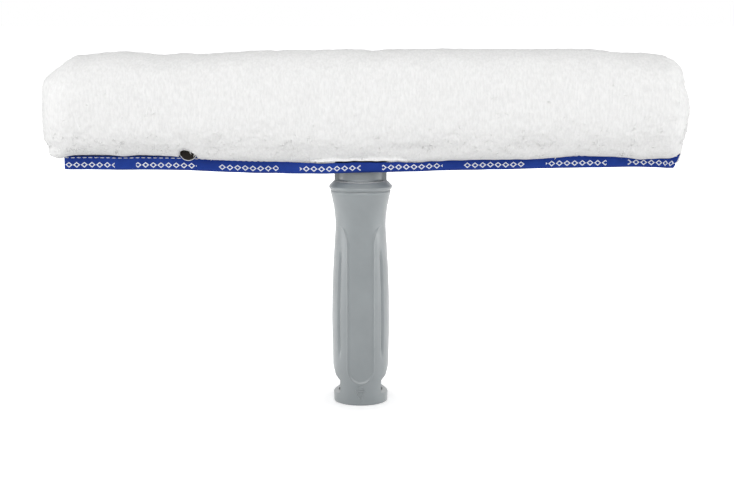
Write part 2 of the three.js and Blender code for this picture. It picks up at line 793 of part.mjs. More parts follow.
// Split ring that grips the nose, lying in the socket's groove
function makeStudSpring() {
  const floor = studSocketReach - studSocketThickness + studCupFloor;
  const ring = new THREE.Shape();
  const start = -Math.PI / 2 + studSpringGap / 2;
  const end = 1.5 * Math.PI - studSpringGap / 2;
  ring.absarc(0, 0, studSpringRadius, start, end, false);
  ring.absarc(0, 0, studSpringRadius - studSpringWire, end, start, true);
  ring.closePath();
  return prismAlongY(ring, studSpringWire, smallSides)
    .translate([studPlace, (studSocketReach + floor) / 2, studHeight]);
}

function makeStudNose() {
  const back = lipInnerFace(studPlace) - seatGap;
  const face = back - studDiscThickness;
  return turnedAlongY([
    [0, face - studNoseHeight],
    [studNoseTipRadius, face - studNoseHeight],
    [studNoseRootRadius, face],
    [studDiscRadius, face],
    [studDiscRadius, back],
    [0, back],
  ], studPlace, studHeight);
}

const greyPlastic = { color: 0x959b9e, roughness: 0.42, metalness: 0 };
const darkPlastic = { color: 0x55595c, roughness: 0.5, metalness: 0 };
const aluminium = { color: 0xb9bcc0, roughness: 0.38, metalness: 1 };
const steel = { color: 0xc4c6c8, roughness: 0.3, metalness: 1 };
const darkStud = { color: 0x2a211c, roughness: 0.35, metalness: 0.2 };
const whitePile = { color: 0xf0f0f0, roughness: 0.95, metalness: 0 };
const blueTape = { color: 0x29408c, roughness: 0.8, metalness: 0 };

const washer = new THREE.Group();

function addPiece(name, solid, finish) {
  const mesh = new THREE.Mesh(toGeometry(solid), new THREE.MeshStandardMaterial(finish));
  mesh.name = name;
  washer.add(mesh);
}

addPiece("grip", makeGrip(), greyPlastic);
addPiece("stem", makeStem(), greyPlastic);
addPiece("fixing_screw", makeScrew(), steel);
addPiece("fixing_washer", makeWasher(), steel);
addPiece("bar", makeBar(), aluminium);
addPiece("end_cap_left", makeEndCap(-1), darkPlastic);
addPiece("end_cap_right", makeEndCap(1), darkPlastic);
addPiece("rivet_left", makeRivet(-rivetSpacing / 2), aluminium);
addPiece("rivet_right", makeRivet(rivetSpacing / 2), aluminium);
addPiece("sleeve", makeSleeve(), whitePile);
addPiece("sleeve_flap", makeFlap(), whitePile);
addPiece("binding_back", makeBinding(1, -tapeLeft, tapeRight), blueTape);
addPiece("binding_front_right", makeBinding(-1, flapRight + seatGap / 2, tapeRight), blueTape);
addPiece("binding_front_left", makeBinding(-1, -tapeLeft, flapRight - seatGap / 2), blueTape);
addPiece("stud_cap_front", makeStudCap(-1), darkStud);
addPiece("stud_cap_back", makeStudCap(1), darkStud);
addPiece("stud_socket", makeStudSocket(), steel);
addPiece("stud_spring", makeStudSpring(), steel);
addPiece("stud_nose", makeStudNose(), steel);

export default washer;
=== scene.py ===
"""Window strip washer: looks of the grey handle, the bar and its buttoned white pile sleeve.

Metres, +Z up. The washer stands on the end of its handle, +X runs along the bar to the
right, and -Y points to the side that carries the stud. Sizes are written in millimetres
times MM.
"""

import json
import math

import bmesh
import bpy
import mathutils
import numpy as np
from mathutils import Matrix, Vector


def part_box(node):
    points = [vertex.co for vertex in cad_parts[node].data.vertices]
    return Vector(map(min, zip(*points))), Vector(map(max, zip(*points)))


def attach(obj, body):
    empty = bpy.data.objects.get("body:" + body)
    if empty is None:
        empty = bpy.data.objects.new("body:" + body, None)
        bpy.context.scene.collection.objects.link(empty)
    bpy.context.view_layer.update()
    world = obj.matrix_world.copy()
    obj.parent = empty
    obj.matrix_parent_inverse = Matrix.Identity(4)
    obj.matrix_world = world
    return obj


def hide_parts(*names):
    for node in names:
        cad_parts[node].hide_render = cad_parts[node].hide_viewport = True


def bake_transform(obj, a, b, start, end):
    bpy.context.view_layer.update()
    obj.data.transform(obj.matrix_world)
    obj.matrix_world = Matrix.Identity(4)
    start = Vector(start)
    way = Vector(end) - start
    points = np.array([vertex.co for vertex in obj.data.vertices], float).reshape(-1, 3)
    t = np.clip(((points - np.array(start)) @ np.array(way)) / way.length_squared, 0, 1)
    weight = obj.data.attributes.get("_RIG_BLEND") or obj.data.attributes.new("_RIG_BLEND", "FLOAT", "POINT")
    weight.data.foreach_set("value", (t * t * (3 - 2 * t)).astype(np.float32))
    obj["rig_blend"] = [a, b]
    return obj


MM = 0.001

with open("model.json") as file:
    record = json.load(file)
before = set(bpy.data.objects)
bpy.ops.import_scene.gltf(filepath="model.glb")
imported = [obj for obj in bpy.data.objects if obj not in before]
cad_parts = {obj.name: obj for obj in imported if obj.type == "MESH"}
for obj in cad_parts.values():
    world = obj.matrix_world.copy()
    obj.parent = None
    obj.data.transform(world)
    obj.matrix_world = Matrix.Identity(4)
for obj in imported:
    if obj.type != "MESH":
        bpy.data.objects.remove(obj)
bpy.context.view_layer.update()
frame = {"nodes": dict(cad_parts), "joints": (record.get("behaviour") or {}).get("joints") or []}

# Handle
# One hollow moulding in satin grey plastic: a palm grip with a flared collar, a beaded panel
# front and back, two flutes beside each panel, and a cut-out at each side of the foot for the
# catches of a pole. Its lower end is a tapered socket and its upper end takes the stem.

grip_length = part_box("grip")[1].z
grip_waist = 14.3 * MM
grip_swell = 16.4 * MM
grip_foot_radius = 15.35 * MM
grip_foot_round = 0.6 * MM
collar_radius = 17.9 * MM
collar_height = grip_length - 3.3 * MM
collar_bead = 1.45 * MM
shoulder_radius = 14.9 * MM
socket_mouth = 12.7 * MM
socket_end = 9.4 * MM
socket_depth = 99.6 * MM
stem_socket_radius = 10 * MM
stem_socket_depth = 24 * MM
screw_hole = 2.7 * MM
seat_gap = 0.3 * MM

# Share of the handle's length, and share from the waist's radius to the swell's or collar's
belly_shares = [
    (0, 0.5), (0.147, 0.73), (0.22, 0.84), (0.39, 1), (0.57, 0.75), (0.7, 0.34), (0.805, 0)]
neck_shares = [(0.875, 0.2), (0.92, 0.5), (0.947, 0.72)]


def smooth_line(points, steps):
    """A smooth line through points, with the same number of steps between each two."""
    knots = [np.array(p, float) for p in (points[0], *points, points[-1])]
    line = []
    for before, start, end, after in zip(knots, knots[1:], knots[2:], knots[3:]):
        for step in range(steps):
            t = step / steps
            line.append(0.5 * (
                2 * start + (end - before) * t
                + (2 * before - 5 * start + 4 * end - after) * t ** 2
                + (3 * start - before - 3 * end + after) * t ** 3))
    line.append(knots[-1])
    return line


def add_object(name, data):
    made = bpy.data.objects.new(name, data)
    bpy.context.scene.collection.objects.link(made)
    return made


def new_mesh(name, bm):
    """Makes a bmesh a mesh whose faces all look outwards."""
    bmesh.ops.recalc_face_normals(bm, faces=bm.faces)
    mesh = bpy.data.meshes.new(name)
    bm.to_mesh(mesh)
    bm.free()
    return mesh


def new_piece(name, bm, body, stands_for=(), finishes=()):
    """Makes a bmesh a smooth-shaded object that rides on a body, with its finishes."""
    piece = add_object(name, new_mesh(name, bm))
    piece.data.shade_smooth()
    for finish in finishes:
        piece.data.materials.append(finish)
    if body:
        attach(piece, body)
    if stands_for:
        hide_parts(*stands_for)
    return piece


def smoothstep(value, low, high):
    share = np.clip((value - low) / (high - low), 0, 1)
    return share * share * (3 - 2 * share)


def edge_distance(x, z, outline):
    """Distance of each point to the nearest point of a close-spaced outline."""
    nearest = np.full(len(x), 1.0)
    for point_x, point_z in outline:
        nearest = np.minimum(nearest, np.hypot(x - point_x, z - point_z))
    return nearest


palm_points = [
    (grip_waist + part * (widest - grip_waist), share * grip_length)
    for widest, shares in ((grip_swell, belly_shares), (collar_radius, neck_shares))
    for share, part in shares
]
palm = np.array(smooth_line(palm_points, 40))
palm_foot = 1.2 * MM
ring_pitch = 0.42 * MM
palm_heights = np.arange(palm_foot, palm[-1][1], ring_pitch)
palm_radii = np.interp(palm_heights, palm[:, 1], palm[:, 0])

bead_arc = np.radians(np.linspace(-68, 58, 11))
collar_bead_line = [
    (collar_radius - collar_bead * (1 - math.cos(angle)),
     collar_height + collar_bead * math.sin(angle))
    for angle in bead_arc
]
groove_line = [
    (collar_radius - inwards * MM, collar_height - down * MM)
    for inwards, down in ((0.85, 2.7), (0.9, 2.2), (1.25, 1.85), (1.25, 1.55))
]
shoulder_line = [
    (shoulder_radius + out * MM, grip_length - down * MM)
    for out, down in ((1.75, 1.45), (1.15, 0.8), (0.4, 0.2), (-0.2, 0))
]
handle_profile = [
    (socket_mouth + 0.5 * MM, 0),
    (grip_foot_radius - grip_foot_round, 0),
    (grip_foot_radius - 0.3 * grip_foot_round, 0.2 * grip_foot_round),
    (grip_foot_radius, grip_foot_round),
    *zip(palm_radii, palm_heights),
    *groove_line,
    *collar_bead_line,
    *shoulder_line,
    (stem_socket_radius + 0.4 * MM, grip_length),
    (stem_socket_radius, grip_length - 0.4 * MM),
    (stem_socket_radius, grip_length - stem_socket_depth),
    (screw_hole, grip_length - stem_socket_depth),
    (screw_hole, socket_depth),
    (socket_end, socket_depth),
    (socket_mouth - 0.03 * MM, 0.9 * MM),
    (socket_mouth + 0.1 * MM, 0.3 * MM),
]
handle_sides = 288
handle_bm = bmesh.new()
profile_verts = [handle_bm.verts.new((radius, 0, height)) for radius, height in handle_profile]
profile_edges = [
    handle_bm.edges.new((profile_verts[i - 1], profile_verts[i]))
    for i in range(len(profile_verts))
]
bmesh.ops.spin(
    handle_bm, geom=profile_verts + profile_edges, cent=(0, 0, 0), axis=(0, 0, 1),
    dvec=(0, 0, 0), angle=2 * math.pi, steps=handle_sides, use_merge=True)

# The panel's outline: round foot, straight sides, and a head that flares to the waist
panel_half_width = 7.3 * MM
panel_recess = 0.4 * MM
panel_edge_outer, panel_edge_inner = -0.2 * MM, 0.9 * MM
panel_foot = 12.8 * MM
panel_foot_rise = 8.5 * MM
panel_flare_start = grip_length - 36.5 * MM
panel_flare_end = grip_length - 23 * MM
panel_bead_half_width = 0.5 * MM
panel_bead_height = 0.5 * MM
panel_bead_fade = 4 * MM
curve_points, side_points = 60, 150
foot_turn = np.linspace(0, math.pi / 2, curve_points)
flare_turn = np.linspace(0, 1, curve_points)
panel_side_x = np.concatenate([
    panel_half_width * np.sin(foot_turn),
    np.full(side_points, panel_half_width),
    panel_half_width + (grip_swell - panel_half_width) * flare_turn ** 2,
])
panel_side_z = np.concatenate([
    panel_foot + panel_foot_rise * (1 - np.cos(foot_turn)),
    np.linspace(panel_foot + panel_foot_rise, panel_flare_start, side_points),
    panel_flare_start
    + (panel_flare_end - panel_flare_start) * (2 * flare_turn - flare_turn ** 2),
])

flute_depth = 1.25 * MM
flute_half_width = 1.5 * MM
flute_taper = 9 * MM
flute_foot = 24.7 * MM
flute_head = grip_length - 35.6 * MM
flute_angle = math.radians(49)

shaped_foot = 2 * MM
shaped_head = panel_flare_end + 3 * MM
shaped_radius = socket_mouth + 0.8 * MM
outside = [
    v for v in handle_bm.verts
    if shaped_foot < v.co.z < shaped_head and math.hypot(v.co.x, v.co.y) > shaped_radius
]
place = np.array([v.co for v in outside])
radius = np.hypot(place[:, 0], place[:, 1])
side_x = np.abs(place[:, 0])
height = place[:, 2]
from_edge = edge_distance(side_x, height, zip(panel_side_x, panel_side_z))
panel_half = np.interp(height, panel_side_z, panel_side_x, left=0)
within = np.where(side_x < panel_half, from_edge, -from_edge)
recess = panel_recess * smoothstep(within, panel_edge_outer, panel_edge_inner)
recess *= 1 - smoothstep(height, panel_flare_start, panel_flare_end)
bead = panel_bead_height * np.exp(-((from_edge / panel_bead_half_width) ** 2) * 2)
bead *= 1 - smoothstep(height, panel_flare_end - panel_bead_fade, panel_flare_end)
around = np.arctan2(side_x, np.abs(place[:, 1]))
flute_end = np.clip(height, flute_foot + flute_half_width, flute_head - flute_half_width)
from_flute = np.hypot((around - flute_angle) * radius, height - flute_end)
flute = flute_depth * (1 - smoothstep(from_flute, 0, flute_half_width))
flute *= smoothstep(height, flute_foot, flute_foot + flute_taper)
flute *= 1 - smoothstep(height, flute_head - flute_taper, flute_head)
new_radius = radius - recess + bead - flute
for vert, share in zip(outside, new_radius / radius):
    vert.co.x *= share
    vert.co.y *= share

handle = new_piece("handle", handle_bm, "washer", ["grip"])

# Flat cut-outs for the catches, open into the socket, and keyways for the stem's ribs
latch_flat = 11.7 * MM
latch_sill = 6.5 * MM
latch_flat_top = 14.2 * MM
latch_bend = 14.2 * MM
latch_bend_top = 16.1 * MM
latch_slope = 3.05
sill_slope = 0.36
cut_reach = 22 * MM
key_half_width = 15.05 * MM
key_half_depth = 2.3 * MM
key_foot = grip_length - 6.3 * MM
key_head = grip_length + 1 * MM


def verts_of(made):
    """The points that a bmesh operation made."""
    return [item for item in made["geom"] if isinstance(item, bmesh.types.BMVert)]


def prism_along_y(bm, outline, half_depth):
    """Extrudes an outline drawn in X and Z to both sides of Y = 0."""
    face = bm.faces.new([bm.verts.new((x, -half_depth, z)) for x, z in outline])
    made = bmesh.ops.extrude_face_region(bm, geom=[face])
    bmesh.ops.translate(bm, verts=verts_of(made), vec=(0, 2 * half_depth, 0))


def applied_mesh(piece):
    """The mesh that a piece's modifiers make of it. They are taken off the piece."""
    mesh = bpy.data.meshes.new_from_object(
        piece.evaluated_get(bpy.context.evaluated_depsgraph_get()))
    piece.modifiers.clear()
    return mesh


def boolean(piece, cutter_bm, operation):
    """Cuts or joins a piece with a closed shape and keeps the result as its mesh."""
    cutter = add_object("cutter", new_mesh("cutter", cutter_bm))
    modifier = piece.modifiers.new("cut", "BOOLEAN")
    modifier.operation = operation
    modifier.solver = "EXACT"
    modifier.object = cutter
    piece.data = applied_mesh(piece)
    bpy.data.objects.remove(cutter)


cuts = bmesh.new()
for side in (-1, 1):
    prism_along_y(cuts, [
        (side * latch_flat, latch_sill),
        (side * cut_reach, latch_sill - sill_slope * (cut_reach - latch_flat)),
        (side * cut_reach, latch_bend_top + latch_slope * (cut_reach - latch_bend)),
        (side * latch_bend, latch_bend_top),
        (side * (latch_flat + 0.6 * MM), latch_flat_top + 0.15 * MM),
        (side * latch_flat, latch_flat_top - 0.5 * MM),
    ], cut_reach)
prism_along_y(cuts, [
    (-key_half_width, key_foot), (key_half_width, key_foot),
    (key_half_width, key_head), (-key_half_width, key_head),
], key_half_depth)
boolean(handle, cuts, "DIFFERENCE")


def feed(tree, socket, value):
    """Wires another socket to a socket, or gives it a value or a colour."""
    if isinstance(value, bpy.types.NodeSocket):
        tree.links.new(value, socket)
    elif socket.type == "RGBA":
        socket.default_value = (*value, 1)
    else:
        socket.default_value = value


def dress(owner, feeds, shader="Principled BSDF"):
    """Feeds the sockets of a shader by their names, and hands back its owner."""
    tree = owner.node_tree
    for name, value in feeds.items():
        feed(tree, tree.nodes[shader].inputs[name], value)
    return owner


def node(tree, kind, *feeds, **settings):
    """Adds a node. Its first sockets take the feeds. A setting goes to the socket of its name,
    or else to a property of the node."""
    made = tree.nodes.new(kind)
    for name, value in settings.items():
        plain = name.replace("_", " ").title()
        if plain in made.inputs:
            feed(tree, made.inputs[plain], value)
        else:
            setattr(made, name, value)
    for index, value in enumerate(feeds):
        feed(tree, made.inputs[index], value)
    return made


def material(name, colour, roughness, metallic=0.0):
    """A plain material, and the node tree for its pattern."""
    made = bpy.data.materials.new(name)
    made.use_nodes = True
    dress(made, {"Base Color": colour, "Roughness": roughness, "Metallic": metallic})
    return made, made.node_tree


def object_place(tree, **mapping):
    """The place on the piece, moved or scaled by a mapping if one is given."""
    place = node(tree, "ShaderNodeTexCoord").outputs["Object"]
    return node(tree, "ShaderNodeMapping", place, **mapping).outputs[0] if mapping else place


def noise(tree, place, scale, detail=2.0, roughness=0.5):
    return node(
        tree, "ShaderNodeTexNoise", vector=place, scale=scale, detail=detail,
        roughness=roughness).outputs["Fac"]


def ramp(tree, value, low, high, out_low=0, out_high=1):
    """Maps a value from one range to another, and holds it there."""
    return node(
        tree, "ShaderNodeMapRange", value, low, high, out_low, out_high).outputs["Result"]


def clouds(tree, scale):
    """Soft patches from zero to one, fixed to the piece."""
    return ramp(tree, noise(tree, object_place(tree), scale, 3), 0.35, 0.65)


def blend_colours(tree, share, first, second):
    """Mixes two colours, each a value or a socket, by a socket's share."""
    made = node(tree, "ShaderNodeMix", data_type="RGBA")
    for index, value in ((0, share), (6, first), (7, second)):
        feed(tree, made.inputs[index], value)
    return made.outputs[2]


def raised(tree, value, depth):
    """A normal for a surface that is raised by a depth in metres where the value is one."""
    return node(
        tree, "ShaderNodeBump", distance=depth, strength=1.0, height=value).outputs["Normal"]


def refinish(mesh, finish):
    """Gives all of a mesh one finish instead of what it had."""
    mesh.materials.clear()
    mesh.materials.append(finish)


def moulded_plastic(name, colour, roughness):
    """Satin moulded plastic: fine spark-eroded grain, faint flow clouds and rubbed patches."""
    made, tree = material(name, colour, roughness)
    place = object_place(tree)
    darker = [0.93 * part for part in colour]
    lighter = [1.05 * part for part in colour]
    rubs = noise(tree, place, 120, 4, 0.6)
    return dress(made, {
        "Base Color": blend_colours(tree, clouds(tree, 55), darker, lighter),
        "Roughness": ramp(tree, rubs, 0.4, 0.7, roughness + 0.05, roughness - 0.07),
        "Normal": raised(tree, noise(tree, place, 2600), 0.03 * MM),
        "Specular IOR Level": 0.9,
        "Coat Weight": 0.5,
        "Coat Roughness": 0.4,
        "Sheen Weight": 0.5,
        "Sheen Roughness": 0.35,
    })


handle_plastic = moulded_plastic("handle_plastic", (0.19, 0.213, 0.222), 0.43)
refinish(handle.data, handle_plastic)

# A raised arrow that points down between the cut-outs, with two short bars above it
mark_width = 0.8 * MM
mark_depth = 0.9 * MM
mark_rise = 0.5 * MM
mark_round = 0.3 * MM
mark_lines = [
    ((-2.7, 8.5), (2.7, 8.5)), ((-2.7, 8.5), (0, 3.1)), ((2.7, 8.5), (0, 3.1)),
    ((-1.7, 9.7), (1.7, 9.7)), ((-1.2, 11), (1.2, 11)),
]


def split(bm, place, across):
    """Adds edges where a plane crosses the mesh."""
    bmesh.ops.bisect_plane(
        bm, geom=bm.verts[:] + bm.edges[:] + bm.faces[:], plane_co=place, plane_no=across)


def soften(bm, edges, offset):
    """Rounds edges with an even bevel."""
    bmesh.ops.bevel(
        bm, geom=edges, offset=offset, segments=3, profile=0.5, affect="EDGES", material=-1)


mark_bm = bmesh.new()
for (start_x, start_z), (end_x, end_z) in mark_lines:
    mark_length = math.hypot(end_x - start_x, end_z - start_z) * MM + 0.6 * mark_width
    mark_turn = Matrix.Rotation(-math.atan2(end_z - start_z, end_x - start_x), 4, "Y")
    mark_middle = Matrix.Translation(((start_x + end_x) / 2 * MM, 0, (start_z + end_z) / 2 * MM))
    mark_size = Matrix.Diagonal((mark_length, mark_depth, mark_width, 1))
    line_verts = bmesh.ops.create_cube(
        mark_bm, size=1, matrix=mark_middle @ mark_turn @ mark_size)["verts"]
    soften(mark_bm, list({e for v in line_verts for e in v.link_edges}), mark_round)
for cut_x in np.arange(-2.5, 2.6, 0.5) * MM:
    split(mark_bm, (cut_x, 0, 0), (1, 0, 0))
for vert in mark_bm.verts:
    palm_radius = float(np.interp(vert.co.z, palm[:, 1], palm[:, 0]))
    vert.co.y += mark_depth / 2 - mark_rise - math.sqrt(palm_radius ** 2 - vert.co.x ** 2)
new_piece("foot_mark", mark_bm, "washer", finishes=[handle_plastic])

# Stem
# The same grey moulding as the handle: an oval column between two thin ribs that key into the
# collar. It spreads into gussets under the bar, and its tongue is riveted inside the bar.

bar_low, bar_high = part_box("bar")
stem_foot = grip_length + seat_gap
stem_top = bar_low.z - seat_gap
stem_half_width = 12.8 * MM
stem_half_depth = 6.75 * MM
rib_half_width = 14.75 * MM
rib_half_thickness = 2 * MM
rib_foot = grip_length - 6 * MM
rib_round = 0.6 * MM
gusset_reach = 27 * MM
gusset_height = 11 * MM
spigot_foot_radius = 9.5 * MM
spigot_head_radius = 9.7 * MM
spigot_foot = grip_length - 23.2 * MM
spigot_length = 23.6 * MM
tongue_middle = (stem_top + bar_high.z) / 2 - 2.1 * MM
tongue_height = bar_high.z - stem_top - 1 * MM
tongue_width = 34 * MM
tongue_depth = 11.8 * MM
tongue_round = 1.5 * MM

# The column, with a hollow fillet at the collar and another under the bar
column_sides = 96
column_rings = [(0, 0.6), (0.12, 0.32), (0.35, 0.12), (0.7, 0.03), (1.1, 0)]
column_heights = [stem_foot + up * MM for up, out in column_rings]
column_heights += [stem_top - up * MM for up, out in reversed(column_rings)]
column_outs = [out * MM for up, out in column_rings + column_rings[::-1]]
column_bm = bmesh.new()
column_ring = bmesh.ops.create_circle(
    column_bm, cap_ends=False, segments=column_sides, radius=1)["verts"]
bmesh.ops.scale(
    column_bm, verts=column_ring,
    vec=(stem_half_width + column_outs[0], stem_half_depth + column_outs[0], 1))
bmesh.ops.translate(column_bm, verts=column_ring, vec=(0, 0, column_heights[0]))
column_foot_edges = column_bm.edges[:]
ring_edges, old_out, old_height = column_foot_edges, column_outs[0], column_heights[0]
for new_height, new_out in zip(column_heights[1:], column_outs[1:]):
    made = bmesh.ops.extrude_edge_only(column_bm, edges=ring_edges)
    ring_verts = verts_of(made)
    ring_edges = [
        e for e in made["geom"]
        if isinstance(e, bmesh.types.BMEdge) and all(v in ring_verts for v in e.verts)
    ]
    bmesh.ops.scale(column_bm, verts=ring_verts, vec=(
        (stem_half_width + new_out) / (stem_half_width + old_out),
        (stem_half_depth + new_out) / (stem_half_depth + old_out), 1))
    bmesh.ops.translate(column_bm, verts=ring_verts, vec=(0, 0, new_height - old_height))
    old_out, old_height = new_out, new_height
for end_edges in (column_foot_edges, ring_edges):
    bmesh.ops.contextual_create(column_bm, geom=end_edges)
column = new_piece("stem_column", column_bm, "washer", ["stem"])

# The two ribs, their gussets, and the spigot and tongue that hold the stem below and above
ribs = bmesh.new()
prism_along_y(ribs, [
    (-rib_half_width, rib_foot),
    (rib_half_width, rib_foot),
    (rib_half_width, stem_top - gusset_height),
    (gusset_reach, stem_top),
    (-gusset_reach, stem_top),
    (-rib_half_width, stem_top - gusset_height),
], rib_half_thickness)
soften(ribs, [
    e for e in ribs.edges
    if abs(e.verts[0].co.y - e.verts[1].co.y) < 0.01 * MM
    and abs(e.verts[0].co.z - e.verts[1].co.z) > 1 * MM
], rib_round)
spigot = bmesh.new()
bmesh.ops.create_cone(
    spigot, cap_ends=True, segments=64, radius1=spigot_foot_radius, radius2=spigot_head_radius,
    depth=spigot_length, matrix=Matrix.Translation((0, 0, spigot_foot + spigot_length / 2)))
tongue = bmesh.new()
bmesh.ops.create_cube(
    tongue, size=1, matrix=Matrix.Translation((0, 0, tongue_middle))
    @ Matrix.Diagonal((tongue_width, tongue_depth, tongue_height, 1)))
soften(tongue, tongue.edges[:], tongue_round)
for part in (ribs, spigot, tongue):
    boolean(column, part, "UNION")
refinish(column.data, handle_plastic)

# Screw and washer
# A plated steel screw and its washer hold the stem from inside the handle, at the end of the
# pole socket. Both were turned, which leaves fine rings round their axis.


def turned_steel(name, centre, axis):
    """Plated steel with fine turning rings round an axis, and dull spots in the plating."""
    made, tree = material(name, (0.56, 0.57, 0.58), 0.3, 1.0)
    centred = object_place(tree, location=[-part for part in centre])
    rings = node(
        tree, "ShaderNodeTexWave", wave_type="RINGS", rings_direction=axis, scale=900,
        distortion=0.4, detail=2, vector=centred)
    spots = noise(tree, object_place(tree), 400, 4)
    return dress(made, {
        "Normal": raised(tree, rings.outputs["Fac"], 0.01 * MM),
        "Roughness": ramp(tree, spots, 0.35, 0.7, 0.24, 0.42),
    })


def finish_nodes(names, finish):
    """Gives carried-over pieces their finish."""
    for name in names:
        refinish(frame["nodes"][name].data, finish)


finish_nodes(["fixing_screw", "fixing_washer"], turned_steel("screw_steel", (0, 0, 0), "Z"))

# Bar, rivets and end caps
# The bar is a hollow aluminium extrusion with slots that hold water. Two solid rivets pass
# through it and the stem's tongue, and a dark plastic cap is pressed into each end.


def drawn_aluminium(name):
    """Plain extruded aluminium, with fine lines along the bar and cloudy oxide."""
    made, tree = material(name, (0.62, 0.63, 0.65), 0.38, 1.0)
    lines = noise(tree, object_place(tree, scale=(0.03, 1, 1)), 3500, 3)
    return dress(made, {
        "Base Color": blend_colours(
            tree, clouds(tree, 90), (0.56, 0.57, 0.59), (0.68, 0.69, 0.7)),
        "Roughness": ramp(tree, lines, 0.3, 0.7, 0.3, 0.46),
        "Normal": raised(tree, lines, 0.012 * MM),
    })


finish_nodes(["bar", "rivet_left", "rivet_right"], drawn_aluminium("bar_aluminium"))
finish_nodes(
    ["end_cap_left", "end_cap_right"], moulded_plastic("cap_plastic", (0.09, 0.1, 0.105), 0.5))

# Sleeve and flap
# Thick white pile on a woven backing, sewn into a tube that is shut at both ends and pulled
# over the bar. Its two lips run down inside the binding. The front of the left arm is a flap
# of the same cloth, which peels open from the stud's end.

sleeve_low, sleeve_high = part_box("sleeve")
tape_low, tape_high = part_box("binding_back")
stud_low, stud_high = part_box("stud_cap_front")
bar_centre = (bar_low.z + bar_high.z) / 2
hinge_height = frame["joints"][0]["pos_m"][2]
flap_right = 17 * MM

# The pile's outer shape, and how its ends round off and drop
sleeve_left, sleeve_right = sleeve_low.x, sleeve_high.x
sleeve_half_depth = 20.9 * MM
sleeve_rise = sleeve_high.z - bar_centre + 0.1 * MM
sleeve_squareness = 2.6
left_round = 20 * MM
left_corner = 22 * MM
left_corner_drop = 0.7
left_foot = 9 * MM
left_foot_drop = 0.2
right_corner = 12 * MM
right_corner_drop = 0.33
right_foot = 9 * MM
right_foot_drop = 0.22
end_reach = 26 * MM
end_cell = 3 * MM

# The lips, the binding round them and the pile that hangs over it
tape_height = 8 * MM
tape_bottom = tape_low.z + 1.9 * MM
tape_left, tape_right = tape_low.x, tape_high.x
tape_front = 4.8 * MM
lip_inner = 1.4 * MM
lip_thickness = 1.8 * MM
lip_foot_gap = 1.1 * MM
lip_open_inner = 15 * MM
lip_open_outer = 50 * MM
lip_share = 0.9
lip_depth_share = 0.4
bound_from, bound_full = tape_left - 2 * MM, tape_left + 1 * MM
hang_from, hang_full, hang_end = 0.82, 0.92, 0.98
hang_wave, hang_wave_pitch = 0.35, 6 * MM

# The pocket for the bar, and the gathered cloth below it
pocket_half_depth = bar_high.y + seat_gap
pocket_half_length = bar_high.x + 2.5 * MM
pocket_half_straight = 140 * MM
pocket_seam = 2.5 * MM
pocket_top = bar_high.z + seat_gap
pocket_floor = bar_low.z - seat_gap
gather_floor = pocket_floor - 6.5 * MM
pocket_turn_share = 0.12
pocket_floor_share = 0.72
gather_share = 0.86

# The room that the stud's cap presses into the pile
stud_x = (stud_low.x + stud_high.x) / 2
stud_height = (stud_low.z + stud_high.z) / 2
stud_room_top = stud_height + 0.2 * MM
stud_room_half_width = 5.25 * MM
stud_room_rise = 0.25
stud_room_slant = 0.35

# How far the top lies below its highest line, at places along the bar
top_places = [-180, -153, -146, -135, -112, -98, -71, -55, -30, 130, 140, 150, 160, 181]
top_drops = [3.2, 2.8, 1.7, 1.0, 3.2, 2.8, 1.7, 0.7, 0.1, 0.1, 1.5, 2.4, 2.8, 3.9]

# How far the binding's foot hangs below its ends, at places along the bar
foot_places = [
    -170, -151, -133, -115, -97, -79, -60, -42, -24, 0, 21, 39, 66, 85, 103, 121, 139, 157, 175]
foot_drops = [
    0.7, 0.8, 1.0, 0.9, 1.2, 2.1, 2.7, 3.0, 2.5, 1.8, 1.4, 1.4, 1.0, 0.6, 0.1, -0.2, -0.5,
    -0.7, -0.1]

# How much of the binding shows under the pile, at places along the bar
show_places = [
    -170, -161, -150, -142, -133, -124, -105, -88, -60, -42, -24, -10, 21, 30, 48, 66, 94, 103,
    112, 121, 139, 148, 157, 166, 175]
show_heights = [
    5.3, 7.6, 7.9, 7.9, 7.1, 7.9, 7.2, 6.1, 6.1, 6.1, 5.3, 5.4, 5.0, 4.5, 5.0, 5.2, 4.8, 5.0,
    5.6, 6.3, 5.5, 5.0, 3.6, 4.6, 4.8]

# How far each end stands out, by its height from -1 at the foot to 1 at the top
left_heights = [-1, -0.92, -0.79, -0.65, -0.38, 0.43, 0.57, 0.7, 0.84, 1]
left_outs = [-1, -1.2, -2, 0.6, 1.2, 0.4, -2.4, -5.4, -7.4, -7.4]
right_heights = [-1, -0.75, -0.45, -0.05, 0.1, 0.3, 0.6, 0.8, 1]
right_outs = [-0.3, 0.7, 2.4, 3.2, 2.8, 0.6, -0.6, -2.5, -3.0]


def round_share(distance, reach):
    """Rises from zero to one on a quarter circle over a reach."""
    left_over = 1 - np.clip(distance / reach, 0, 1)
    return np.sqrt(1 - left_over ** 2)


def ripple(x, pitch, row, layer):
    """An uneven wave along the bar, of its own for each row and layer."""
    return np.array([mathutils.noise.noise(Vector((place / pitch, row, layer))) for place in x])


def lip_opening(x):
    return stem_half_depth * (1 - smoothstep(np.abs(x), lip_open_inner, lip_open_outer))


def lip_sag(x):
    return np.interp(x / MM, foot_places, foot_drops) * MM


def pile_hang(x):
    """How far the pile hangs down over the binding."""
    shown = np.interp(x / MM, show_places, show_heights)
    return tape_height + (hang_wave * ripple(x, hang_wave_pitch, 2, 7) - shown) * MM


